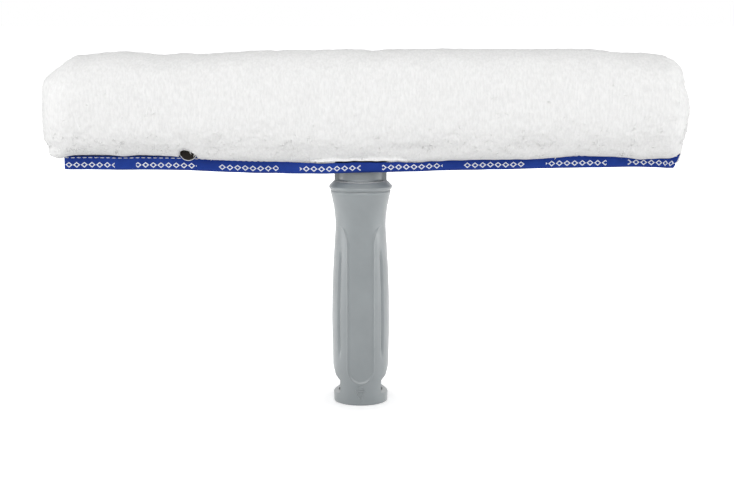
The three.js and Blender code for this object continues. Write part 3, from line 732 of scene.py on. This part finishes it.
# Half of the rounded section as even shares of its length, from the top to the lip
turn = np.linspace(math.pi / 2, -math.pi / 2, 2000)
section_across = np.abs(np.cos(turn)) ** (2 / sleeve_squareness)
section_up = np.sign(np.sin(turn)) * np.abs(np.sin(turn)) ** (2 / sleeve_squareness)
reaches_lip = section_across > (lip_inner + lip_thickness) / sleeve_half_depth
reaches_lip |= section_up > 0
section_across, section_up = section_across[reaches_lip], section_up[reaches_lip]
section_steps = np.hypot(
    np.diff(section_across) * sleeve_half_depth, np.diff(section_up) * sleeve_rise)
section_share = np.concatenate([[0], np.cumsum(section_steps)])
section_share /= section_share[-1]
hinge_up = (hinge_height - bar_centre) / sleeve_rise
hinge_share = lip_share * float(np.interp(-hinge_up, -section_up, section_share))
flap_cut = 0.5 + hinge_share / 2


def flat_cloth(x_from, x_to, x_cells, share_cells, cuts=(), keep=None):
    """Lays cloth flat, with its place on the bar along X and its share round the section
    along Y, as a slab whose outer face is at Z = 0 and inner face at Z = 1."""
    bm = bmesh.new()
    bmesh.ops.create_grid(bm, x_segments=x_cells, y_segments=share_cells, size=0.5)
    bmesh.ops.scale(bm, verts=bm.verts, vec=(x_to - x_from, 1, 1))
    bmesh.ops.translate(bm, verts=bm.verts, vec=((x_from + x_to) / 2, 0.5, 0))
    for place, across in cuts:
        split(bm, place, across)
    if keep:
        bmesh.ops.delete(
            bm, geom=[f for f in bm.faces if not keep(f.calc_center_median())],
            context="FACES")
    made = bmesh.ops.extrude_face_region(bm, geom=bm.faces[:])
    bmesh.ops.translate(bm, verts=verts_of(made), vec=(0, 0, 1))
    return bm


def shape_sleeve(flat):
    """Wraps flat cloth round the bar. The ends close on an upright seam."""
    x, share, layer = flat.T
    side = np.where(share < 0.5, 1.0, -1.0)
    down = np.abs(share - 0.5) * 2
    from_left, from_right = x - sleeve_left, sleeve_right - x
    depth_share = np.minimum(
        round_share(from_left, left_round), round_share(from_right, right_corner))
    up_share = 1 - left_corner_drop * (1 - round_share(from_left, left_corner))
    up_share -= right_corner_drop * (1 - round_share(from_right, right_corner))
    foot_share = 1 - left_foot_drop * (1 - round_share(from_left, left_foot))
    foot_share -= right_foot_drop * (1 - round_share(from_right, right_foot))

    # Round the bar, down to the pile's lower edge
    pile_floor = tape_bottom - lip_sag(x) + tape_height + seat_gap
    rise = (sleeve_rise - np.interp(x / MM, top_places, top_drops) * MM) * up_share
    fall = (bar_centre - pile_floor) * foot_share
    spread = down / lip_share
    across = sleeve_half_depth * np.interp(spread, section_share, section_across)
    hangs = smoothstep(spread, hang_from, hang_full) * (1 - smoothstep(spread, hang_end, 1))
    across = np.where(hangs > 0, np.maximum(across, tape_front + lip_opening(x)), across)
    up = np.interp(spread, section_share, section_up)
    lip_outer = np.where(down > 0.5, lip_inner + lip_thickness + lip_opening(x), 0)
    outer_y = np.minimum(np.maximum(across, lip_outer), sleeve_half_depth) * depth_share
    keeps_lip = depth_share > lip_depth_share
    outer_y = np.where(keeps_lip, np.maximum(outer_y, lip_outer), outer_y)
    outer_z = bar_centre + np.where(up > 0, rise, fall) * up
    outer_z -= pile_hang(x) * hangs

    # Over the stud's cap, and down inside the binding
    parted = np.sqrt(np.clip(1 - ((x - stud_x) / stud_room_half_width) ** 2, 0, 1))
    ceiling = stud_room_top - stud_room_slant * (x - stud_x) - pile_floor
    ceiling = pile_floor + parted * ceiling
    ceiling += stud_room_rise * parted * np.maximum(outer_y - tape_front, 0)
    lifted = np.where((parted > 0) & (down > 0.5), np.maximum(ceiling - outer_z, 0), 0)
    outer_z += lifted
    bound = smoothstep(x, bound_from, bound_full)
    lip_foot = tape_bottom - lip_sag(x) + lip_foot_gap
    lip_length = (pile_floor - lip_foot) * bound
    outer_z -= (lip_length + lifted) * np.clip((down - lip_share) / (1 - lip_share), 0, 1)

    # Out at the ends
    upright = np.clip((outer_z - bar_centre) / sleeve_rise, -1, 1)
    at_right = smoothstep(x, sleeve_right - end_reach, sleeve_right)
    at_left = 1 - smoothstep(x, sleeve_left, sleeve_left + end_reach)
    outer_x = x + np.interp(upright, right_heights, right_outs) * MM * at_right
    outer_x -= np.interp(upright, left_heights, left_outs) * MM * at_left

    # The pocket inside, which closes at both ends
    inner_x = np.interp(
        x, [sleeve_left, sleeve_left + end_cell, -pocket_half_straight,
            pocket_half_straight, sleeve_right - end_cell, sleeve_right],
        [-pocket_half_length - pocket_seam, -pocket_half_length, -pocket_half_straight,
         pocket_half_straight, pocket_half_length, pocket_half_length + pocket_seam])
    shut = 1 - np.clip((np.abs(inner_x) - pocket_half_length) / pocket_seam, 0, 1)
    knots = [0, pocket_turn_share, hinge_share, pocket_floor_share, gather_share]
    pocket_y = np.interp(down, knots, [0, *[pocket_half_depth] * 3, 0])
    inner_lip = lip_inner + lip_opening(inner_x)
    inner_y = np.where(down > pocket_floor_share, np.maximum(pocket_y, inner_lip), pocket_y)
    inner_z = np.interp(
        down, knots, [pocket_top, pocket_top, hinge_height, pocket_floor, gather_floor])
    gathered = gather_floor + (lip_foot - gather_floor) * bound * (
        down - gather_share) / (1 - gather_share)
    inner_z = np.where(down > gather_share, gathered, inner_z)

    outer = np.stack([outer_x, side * outer_y, outer_z], axis=1)
    inner = np.stack([inner_x, side * inner_y * shut, inner_z], axis=1)
    return outer + (inner - outer) * layer[:, None]


# Where the pile thins out on the way to the lips, as shares from the top
pile_full, pile_end = 0.77, 0.84

# Sizes and heights of the pile's waves, locks and tufts, and how they point at the ends
lump_sizes = [(17, 0.9), (5.5, 0.42), (2.1, 0.3)]
lump_squareness = 1.6
lump_end_lean = 1.2
loose_reach = 24 * MM


def pile_growth(flat):
    """Where pile grows: all over the outside, and not on the lips inside the binding."""
    down = np.abs(flat[:, 1] - 0.5) * 2
    return (flat[:, 2] < 0.001) * (1 - smoothstep(down, pile_full, pile_end))


def pile_lumps(flat, shaped, growth):
    """Moves the pile's surface out and in by soft waves, locks and single tufts."""
    along = np.clip((flat[:, 0] - sleeve_right + right_corner) / right_corner, 0, 1)
    along -= np.clip((sleeve_left + left_corner - flat[:, 0]) / left_corner, 0, 1)
    across = shaped[:, 1] / sleeve_half_depth
    up = (shaped[:, 2] - bar_centre) / sleeve_rise
    out = np.stack([along * lump_end_lean, across, up], axis=1)
    out[:, 1:] = np.sign(out[:, 1:]) * np.abs(out[:, 1:]) ** lump_squareness
    out /= np.maximum(np.linalg.norm(out, axis=1), 0.001)[:, None]
    heights = np.zeros(len(flat))
    looser = 1 + smoothstep(flat[:, 0], sleeve_right - loose_reach, sleeve_right)
    for index in np.nonzero(growth > 0)[0]:
        place = Vector(shaped[index])
        heights[index] = looser[index] * sum(
            height * mathutils.noise.noise(place / (size * MM)) for size, height in lump_sizes)
    return shaped + out * (heights * growth * MM)[:, None]


def place_verts(bm, places):
    for vert, place in zip(bm.verts, places):
        vert.co = place


def sew_cloth(name, keep, body, stands_for):
    """Makes one part of the cloth, with fine cells on its outer face that the pile lifts. The
    inner face and the cut edges are marked as backing."""
    bm = flat_cloth(sleeve_left, sleeve_right, x_cells, share_cells, sleeve_cuts, keep)
    outer_edges = [e for e in bm.edges if all(v.co.z < 0.5 for v in e.verts)]
    bmesh.ops.subdivide_edges(bm, edges=outer_edges, cuts=fine_cuts, use_grid_fill=True)
    flat = np.array([v.co for v in bm.verts])
    growth = pile_growth(flat)
    layer = bm.verts.layers.float.new("pile")
    for vert, share in zip(bm.verts, growth):
        vert[layer] = share
    for face in bm.faces:
        face.material_index = 0 if all(v.co.z < 0.5 for v in face.verts) else 1
    place_verts(bm, pile_lumps(flat, shape_sleeve(flat), growth))
    for edge in bm.edges:
        if len({face.material_index for face in edge.link_faces}) > 1:
            edge.smooth = False
    return new_piece(
        name, bm, body, stands_for, [pile_material, backing_material])


x_cells, share_cells = 60, 34
fine_cuts = 5
sleeve_cuts = [
    ((flap_right, 0, 0), (1, 0, 0)),
    ((0, flap_cut, 0), (0, 1, 0)),
    ((sleeve_left + end_cell, 0, 0), (1, 0, 0)),
    ((sleeve_right - end_cell, 0, 0), (1, 0, 0)),
]


def in_flap(place):
    return place.x < flap_right and place.y > flap_cut


def pile_white(name):
    """White wool-like pile: fine upright streaks between tufts, and no gloss."""
    made, tree = material(name, (0.88, 0.88, 0.875), 1.0)
    streaks = noise(tree, object_place(tree, scale=(1, 1, 0.3)), 900, 3, 0.6)
    return dress(made, {
        "Base Color": blend_colours(
            tree, ramp(tree, streaks, 0.35, 0.65), (0.83, 0.83, 0.825), (0.915, 0.915, 0.91)),
        "Normal": raised(tree, streaks, 0.25 * MM),
        "Specular IOR Level": 0.1,
    })


def calc(tree, operation, *feeds):
    return node(tree, "ShaderNodeMath", *feeds, operation=operation).outputs[0]


def woven_backing(name):
    """Plain cotton weave behind the pile, off-white."""
    made, tree = material(name, (0.72, 0.71, 0.68), 0.9)
    threads = [
        node(
            tree, "ShaderNodeTexWave", bands_direction=direction, scale=420, distortion=0.6,
            detail=1, vector=object_place(tree)).outputs["Fac"]
        for direction in ("X", "Z")
    ]
    weave = calc(tree, "MULTIPLY", *threads)
    return dress(made, {
        "Base Color": blend_colours(tree, weave, (0.62, 0.61, 0.58), (0.78, 0.77, 0.74)),
        "Normal": raised(tree, weave, 0.15 * MM),
    })


pile_material = pile_white("sleeve_pile")
backing_material = woven_backing("sleeve_backing")
pile_sleeve = sew_cloth("pile_sleeve", lambda place: not in_flap(place), "washer", ["sleeve"])
pile_flap = sew_cloth("pile_flap", in_flap, None, ["sleeve_flap"])
flap_bend = ((flap_right, 0, 0), (-40 * MM, 0, 0))
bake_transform(pile_flap, "washer", "flap", *flap_bend)

# Tufts
# The ends of the pile's yarn stand out from the cloth as short bent tufts that lean down and
# to all sides. They hide the sleeve's cuts and hang a little over the binding's upper edge.

tuft_length = 2.3 * MM
tuft_radius = 0.3 * MM
tuft_bm = bmesh.new()
bmesh.ops.create_cone(
    tuft_bm, cap_ends=True, cap_tris=True, segments=3, radius1=tuft_radius, radius2=0,
    depth=0.6 * tuft_length)
bmesh.ops.remove_doubles(tuft_bm, verts=tuft_bm.verts, dist=0.001 * MM)
bmesh.ops.translate(tuft_bm, verts=tuft_bm.verts, vec=(0, 0, 0.7 * tuft_length))
tuft_root = min(tuft_bm.verts, key=lambda v: (v.co.z, math.hypot(v.co.x, v.co.y)))
tuft_root.co.z = 0
tuft_tip = max(tuft_bm.verts, key=lambda v: v.co.z)
tuft_tip.co.x = 0.25 * tuft_length
tuft = new_piece("tuft", tuft_bm, None)

# How tufts lean with their lock of the pile and each by itself, and their sizes
lock_scale = 160
lock_spread, lock_lean = (1.9, 1.9, 1.9), (-0.95, -0.95, -1.45)
own_low, own_high = (-0.7, -0.7, -0.7), (0.7, 0.7, 0.7)
size_low, size_high = (0.7, 0.7, 0.6), (1.25, 1.25, 1.2)


def grow_tufts(cloth, name, body, per_square_mm, seed):
    """Scatters tufts over a cloth where its pile grows, as one mesh."""
    tree = bpy.data.node_groups.new(name, "GeometryNodeTree")
    for direction in ("INPUT", "OUTPUT"):
        tree.interface.new_socket(
            "Geometry", in_out=direction, socket_type="NodeSocketGeometry")
    growth = node(tree, "GeometryNodeInputNamedAttribute", data_type="FLOAT", name="pile")
    backing = node(tree, "GeometryNodeInputMaterialIndex")
    outside = node(tree, "FunctionNodeBooleanMath", backing.outputs[0], operation="NOT")
    scatter = node(
        tree, "GeometryNodeDistributePointsOnFaces", distribute_method="RANDOM", seed=seed,
        mesh=node(tree, "NodeGroupInput").outputs[0], selection=outside.outputs[0],
        density=calc(tree, "MULTIPLY", growth.outputs["Attribute"], per_square_mm / MM ** 2))

    # Each tuft points outwards, a little down, with its neighbours' lock and its own turn
    place = node(tree, "GeometryNodeInputPosition")
    lock = node(tree, "ShaderNodeTexNoise", vector=place.outputs[0], scale=lock_scale)
    pointing = node(
        tree, "ShaderNodeVectorMath", lock.outputs["Color"], lock_spread, lock_lean,
        operation="MULTIPLY_ADD").outputs[0]
    own_turn = node(
        tree, "FunctionNodeRandomValue", own_low, own_high, data_type="FLOAT_VECTOR",
        seed=seed + 1)
    for other in (own_turn.outputs[0], scatter.outputs["Normal"]):
        pointing = node(
            tree, "ShaderNodeVectorMath", pointing, other, operation="ADD").outputs[0]
    facing = node(
        tree, "FunctionNodeAlignRotationToVector", axis="Z", vector=pointing,
        rotation=scatter.outputs["Rotation"])
    size = node(
        tree, "FunctionNodeRandomValue", size_low, size_high, data_type="FLOAT_VECTOR",
        seed=seed + 2)
    planted = node(
        tree, "GeometryNodeInstanceOnPoints", points=scatter.outputs["Points"],
        instance=node(tree, "GeometryNodeObjectInfo", object=tuft).outputs["Geometry"],
        rotation=facing.outputs["Rotation"], scale=size.outputs[0])
    single = node(tree, "GeometryNodeRealizeInstances", planted.outputs["Instances"])
    node(tree, "NodeGroupOutput", single.outputs["Geometry"])

    ground = add_object(name, cloth.data.copy())
    growing = ground.modifiers.new("tufts", "NODES")
    growing.node_group = tree
    mesh = applied_mesh(ground)
    ground.data = mesh
    for attribute in [a.name for a in mesh.attributes if a.name in ("pile", "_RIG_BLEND")]:
        mesh.attributes.remove(mesh.attributes[attribute])
    mesh.shade_smooth()
    refinish(mesh, pile_material)
    if body:
        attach(ground, body)
    return ground


batch_density, flap_density = 0.36, 1.08
for batch in range(3):
    batch_name = f"sleeve_tufts_{batch + 1}"
    grow_tufts(pile_sleeve, batch_name, "washer", batch_density, 11 + 10 * batch)
flap_tufts = grow_tufts(pile_flap, "flap_tufts", None, flap_density, 71)
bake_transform(flap_tufts, "washer", "flap", *flap_bend)
bpy.data.objects.remove(tuft)

# Binding
# Royal blue woven tape, folded round each lip of the opening and stitched through with white
# thread. The left half of the front strip opens with the flap.

tape_cloth = 0.55 * MM
tape_inner = 0.5 * MM
tape_outer = lip_inner + lip_thickness + 0.85 * MM
tape_fold = (tape_outer - tape_inner) / 2
tape_leg = tape_height - tape_fold
tape_path = 2 * tape_leg + math.pi * tape_fold
tape_slant = 3.4 * MM
tape_slant_reach = 12 * MM
tape_wave, tape_wave_pitch = 0.3 * MM, 13 * MM
tape_crease, tape_crease_pitch = 0.14 * MM, 5 * MM
tape_cell = 1.3 * MM
tape_cells_round = 30


def shape_tape(flat, side):
    """Folds flat tape round a lip: up the inside, round the foot and up the outside."""
    x, share, layer = flat.T
    run = share * tape_path
    fold_turn = np.clip((run - tape_leg) / tape_fold, 0, math.pi)
    centre_y = tape_inner + tape_fold + lip_opening(x)
    off = tape_fold + tape_cloth / 2 * (1 - 2 * layer)
    y = centre_y - off * np.cos(fold_turn)
    z = tape_fold - off * np.sin(fold_turn)
    z += np.maximum(tape_leg - run, 0) + np.maximum(run - tape_path + tape_leg, 0)
    wave = ripple(x, tape_wave_pitch, side * 3, 0)
    crease = ripple(x, tape_crease_pitch, side * 9, 4)
    z += (tape_wave * wave + tape_crease * crease) * np.clip(share * 3 - 1, 0, 1)
    y += (0.25 * wave + 0.1) * MM * smoothstep(share, 0.6, 1)
    z += tape_bottom - lip_sag(x)
    level = np.clip((z - tape_bottom) / tape_height, 0, 1)
    x = x - tape_slant * (1 - level) * smoothstep(x, tape_right - tape_slant_reach, tape_right)
    return np.stack([x, side * y, z], axis=1)


def fold_tape(name, side, x_from, x_to, body, stands_for):
    """Makes one strip of binding, with the cloth's own length and width as its UV map."""
    bm = flat_cloth(x_from, x_to, int((x_to - x_from) / tape_cell), tape_cells_round)
    uv = bm.loops.layers.uv.new("tape")
    for face in bm.faces:
        for loop in face.loops:
            loop[uv].uv = (loop.vert.co.x, loop.vert.co.y * tape_path)
    place_verts(bm, shape_tape(np.array([v.co for v in bm.verts]), side))
    return new_piece(name, bm, body, stands_for, [tape_material])


def blue_weave(name):
    """Twilled blue tape, darker along its upper edge, and a plain woven chain of white diamonds."""
    twill_pitch, pick_pitch, upper_band_width = 0.55 * MM, 0.3 * MM, 0.7 * MM
    group_pitch, group_share, diamond_pitch = 46 * MM, 0.74, 4.3 * MM
    chain_centre, diamond_half = tape_path - tape_leg + 0.9 * MM, 1.7 * MM
    diamond_reach, diamond_line = 0.74, 0.2
    made, tree = material(name, (0.03, 0.07, 0.30), 0.75)
    run = node(tree, "ShaderNodeUVMap", uv_map="tape")
    parts = node(tree, "ShaderNodeSeparateXYZ", run.outputs["UV"]).outputs
    along, across = parts["X"], parts["Y"]
    slanted = calc(tree, "ADD", along, across)
    twill = calc(tree, "SINE", calc(tree, "MULTIPLY", slanted, 2 * math.pi / twill_pitch))
    picks = calc(tree, "SINE", calc(tree, "MULTIPLY", across, 2 * math.pi / pick_pitch))
    weave = calc(
        tree, "MULTIPLY_ADD", twill, 0.3, calc(tree, "MULTIPLY_ADD", picks, 0.2, 0.5))

    # Chain of diamonds in groups, on the outside of the fold
    start = calc(tree, "ADD", along, 1.0)
    in_group = calc(tree, "LESS_THAN", calc(
        tree, "FRACT", calc(tree, "DIVIDE", start, group_pitch)), group_share)
    in_diamond = calc(tree, "FRACT", calc(tree, "DIVIDE", start, diamond_pitch))
    diamond_x = calc(tree, "MULTIPLY", calc(
        tree, "ABSOLUTE", calc(tree, "SUBTRACT", in_diamond, 0.5)), 2.0)
    diamond_y = calc(tree, "DIVIDE", calc(
        tree, "ABSOLUTE", calc(tree, "SUBTRACT", across, chain_centre)), diamond_half)
    from_line = calc(
        tree, "SUBTRACT", calc(tree, "ADD", diamond_x, diamond_y), diamond_reach)
    outline = calc(tree, "LESS_THAN", calc(tree, "ABSOLUTE", from_line), diamond_line)
    figure = calc(tree, "MULTIPLY", outline, in_group)

    ground = blend_colours(tree, clouds(tree, 60), (0.011, 0.043, 0.29), (0.02, 0.07, 0.4))
    threads = blend_colours(tree, weave, (0.008, 0.028, 0.2), ground)
    # A darker blue band along the tape's upper edge, where the pile hangs over it
    upper_band = calc(tree, "GREATER_THAN", across, tape_path - upper_band_width)
    edged = blend_colours(tree, upper_band, threads, (0.012, 0.026, 0.13))
    return dress(made, {
        "Base Color": blend_colours(tree, figure, edged, (0.78, 0.8, 0.86)),
        "Normal": raised(tree, calc(tree, "MULTIPLY_ADD", figure, 0.5, weave), 0.08 * MM),
        "Sheen Weight": 0.05,
        "Specular IOR Level": 0.15,
    })


tape_material = blue_weave("binding_tape")

# Each strip's side, ends and body. The last one bends with the flap.
strips = [
    ("back", 1, tape_left, tape_right, "washer"),
    ("front_right", -1, flap_right, tape_right, "washer"),
    ("front_left", -1, tape_left, flap_right, None),
]
for strip_name, *strip in strips:
    tape = fold_tape(f"tape_{strip_name}", *strip, [f"binding_{strip_name}"])
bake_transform(tape, "washer", "flap", *flap_bend)

# Stitches
# White lockstitch thread along each strip of binding, a little below its upper edge. Each
# stitch is a short rounded loop that sinks into the tape at both ends.

stitch_pitch = 3.3 * MM
stitch_half_length = 1.2 * MM
stitch_radius = 0.22 * MM
stitch_share = (tape_path - 1.3 * MM) / tape_path
stitch_margin = 1.5 * MM
stitch_out = 0.05 * MM


def sew_stitches(name, side, x_from, x_to, body):
    bm = bmesh.new()
    for x in np.arange(x_from + stitch_margin, x_to - stitch_margin, stitch_pitch):
        start, end = shape_tape(np.array([
            [x - stitch_half_length, stitch_share, 0], [x + stitch_half_length, stitch_share, 0],
        ]), side)
        turn = Vector(end - start).to_track_quat("X", "Z").to_matrix().to_4x4()
        middle = Vector((start + end) / 2) + Vector((0, side * stitch_out, 0))
        stretch = Matrix.Diagonal((stitch_half_length, stitch_radius, stitch_radius * 1.1, 1))
        bmesh.ops.create_uvsphere(
            bm, u_segments=6, v_segments=5, radius=1,
            matrix=Matrix.Translation(middle) @ turn @ stretch
            @ Matrix.Rotation(math.pi / 2, 4, "Y"))
    return new_piece(name, bm, body, finishes=[thread_material])


def twisted_thread(name):
    """White polyester thread, with its twist as fine slanting ridges."""
    made, tree = material(name, (0.82, 0.83, 0.85), 0.6)
    twist = node(
        tree, "ShaderNodeTexWave", bands_direction="DIAGONAL", scale=900, distortion=1,
        vector=object_place(tree)).outputs["Fac"]
    return dress(made, {
        "Base Color": blend_colours(tree, twist, (0.7, 0.71, 0.73), (0.88, 0.89, 0.9)),
        "Normal": raised(tree, twist, 0.05 * MM),
    })


thread_material = twisted_thread("white_thread")
for strip_name, *strip in strips:
    stitches = sew_stitches(f"stitches_{strip_name}", *strip)
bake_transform(stitches, "washer", "flap", *flap_bend)

# Press stud
# One brass snap closes the lips left of the stem. A domed cap with a dark brown lacquer and a
# bare rolled rim sits on each lip, and a socket with a ring spring grips a nose between them.

stud_radius = (stud_high.x - stud_low.x) / 2 + 0.4 * MM
stud_thickness = 1.8 * MM
shank_radius = 1.4 * MM
dome_share = 0.86
dome_foot = 0.55
lacquer_share = 0.9
lacquer_from = 0.5 * MM


def stud_cap(name, node_name, side, body):
    """Spins one cap about the stud's axis. Its shank reaches in to the lip's middle."""
    cap_low, cap_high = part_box(node_name)
    top, tip = (cap_high.y, cap_low.y) if side > 0 else (-cap_low.y, -cap_high.y)
    face = top - stud_thickness
    dome = [
        (dome_share * math.sin(angle), dome_foot + (1 - dome_foot) * math.cos(angle))
        for angle in np.radians(np.linspace(90, 8, 9))
    ]
    profile = [
        (0, tip), (shank_radius, tip), (shank_radius, face + 0.15 * MM),
        (dome_share * stud_radius, face + 0.15 * MM), (0.93 * stud_radius, face),
        (stud_radius - 0.12 * MM, face + 0.1 * MM), (stud_radius, face + 0.4 * MM),
        (stud_radius - 0.15 * MM, face + 0.75 * MM), (0.92 * stud_radius, face + 0.85 * MM),
        *((across * stud_radius, face + up * stud_thickness) for across, up in dome),
        (0, face + stud_thickness),
    ]
    bm = bmesh.new()
    verts = [bm.verts.new((across, side * place, 0)) for across, place in profile]
    edges = [bm.edges.new(pair) for pair in zip(verts, verts[1:])]
    bmesh.ops.spin(
        bm, geom=verts + edges, cent=(0, 0, 0), axis=(0, 1, 0), dvec=(0, 0, 0),
        angle=2 * math.pi, steps=48, use_merge=True)
    bmesh.ops.remove_doubles(bm, verts=bm.verts, dist=0.005 * MM)
    bmesh.ops.translate(bm, verts=bm.verts, vec=(stud_x, 0, stud_height))
    for part in bm.faces:
        middle = part.calc_center_median()
        from_axis = math.hypot(middle.x - stud_x, middle.z - stud_height)
        lacquered = (
            from_axis < lacquer_share * stud_radius and side * middle.y > face + lacquer_from)
        part.material_index = 0 if lacquered else 1
    new_piece(name, bm, body, [node_name], [lacquer, stud_metal])


def dark_lacquer(name):
    """Dark brown lacquer over metal, a little orange-peeled and rubbed thin in specks."""
    brown = (0.009, 0.006, 0.004)
    made, tree = material(name, brown, 0.4)
    place = object_place(tree)
    specks = ramp(tree, noise(tree, place, 1400, 4, 0.7), 0.62, 0.7)
    return dress(made, {
        "Base Color": blend_colours(tree, specks, brown, (0.03, 0.021, 0.015)),
        "Roughness": ramp(tree, noise(tree, place, 700, 3), 0.3, 0.7, 0.34, 0.5),
        "Normal": raised(tree, noise(tree, place, 900), 0.02 * MM),
        "Specular IOR Level": 0.12,
    })


lacquer = dark_lacquer("stud_lacquer")
stud_metal = turned_steel("stud_metal", (stud_x, 0, stud_height), "Y")
stud_cap("stud_cap_seen", "stud_cap_front", -1, "flap")
stud_cap("stud_cap_hidden", "stud_cap_back", 1, "washer")
finish_nodes(["stud_socket", "stud_spring", "stud_nose"], stud_metal)

# Studio
# The washer stands on a white table before a white backdrop. Four large lamps light it evenly:
# one at each side, one before and above it, and one behind and above it. The table keeps a
# faint shadow.

white = (1, 1, 1)
table_size = 8
table_bm = bmesh.new()
bmesh.ops.create_grid(table_bm, x_segments=1, y_segments=1, size=table_size)
table = new_piece("table", table_bm, None)


def seen_directly(tree, *others):
    """One for rays from the camera, for mirrored rays and for other named kinds of ray."""
    ray = node(tree, "ShaderNodeLightPath")
    seen = calc(
        tree, "MAXIMUM", ray.outputs["Is Camera Ray"], ray.outputs["Is Glossy Ray"])
    for other in others:
        seen = calc(tree, "MAXIMUM", seen, ray.outputs[other])
    return seen


table_white, table_tree = material("table_white", (0.9, 0.9, 0.9), 0.9)
table_distance = node(
    table_tree, "ShaderNodeVectorMath", object_place(table_tree), operation="LENGTH")
table_glow = ramp(table_tree, table_distance.outputs["Value"], 0.02, 0.1, 0.3, 1)
dress(table_white, {
    "Emission Strength": calc(table_tree, "MULTIPLY", table_glow, seen_directly(table_tree)),
    "Emission Color": white,
})
table.data.materials.append(table_white)

world = bpy.data.worlds.new("studio")
world.use_nodes = True
bpy.context.scene.world = world
sky_light = 0.35
sky_seen = seen_directly(world.node_tree, "Is Transmission Ray")
sky_strength = ramp(world.node_tree, sky_seen, 0, 1, sky_light, 1)
dress(world, {"Color": white, "Strength": sky_strength}, "Background")


def aim(placed, centre, distance, back):
    """Puts a lamp or a camera back from a centre, and turns it towards that centre."""
    placed.location = centre + distance * back
    placed.rotation_euler = (-back).to_track_quat("-Z", "Y").to_euler()


# Turn from the front about the washer, angle above the table, distance, width and power
washer_middle = Vector((0, 0, 0.11))
lamps = {
    "left_lamp": (-80, 6, 2.0, 0.8, 12.5),
    "right_lamp": (84, 6, 2.0, 0.8, 12.5),
    "front_lamp": (0, 35, 1.9, 1.2, 17.5),
    "back_lamp": (180, 42, 2.2, 1.2, 9),
}
for lamp_name, (lamp_turn, lamp_rise, lamp_distance, lamp_width, lamp_power) in lamps.items():
    lamp_data = bpy.data.lights.new(lamp_name, "AREA")
    lamp_data.shape = "SQUARE"
    lamp_data.size = lamp_width
    lamp_data.energy = lamp_power
    lamp_back = Matrix.Rotation(math.radians(lamp_turn), 3, "Z") @ Matrix.Rotation(
        math.radians(-lamp_rise), 3, "X") @ Vector((0, -1, 0))
    aim(add_object(lamp_name, lamp_data), washer_middle, lamp_distance, lamp_back)

# Camera
# A long lens a little under a metre away and slightly above the middle of the washer.

camera_aim = Vector((3.6 * MM, 0, 93.8 * MM))
camera_distance = 0.915
camera_rise = math.radians(9)
camera_data = bpy.data.cameras.new("camera")
camera_data.lens = 79.0
camera_data.sensor_width = 36
camera = add_object("camera", camera_data)
camera_back = Vector((0, -math.cos(camera_rise), math.sin(camera_rise)))
aim(camera, camera_aim, camera_distance, camera_back)
bpy.context.scene.camera = camera
bpy.context.scene.view_settings.view_transform = "Standard"
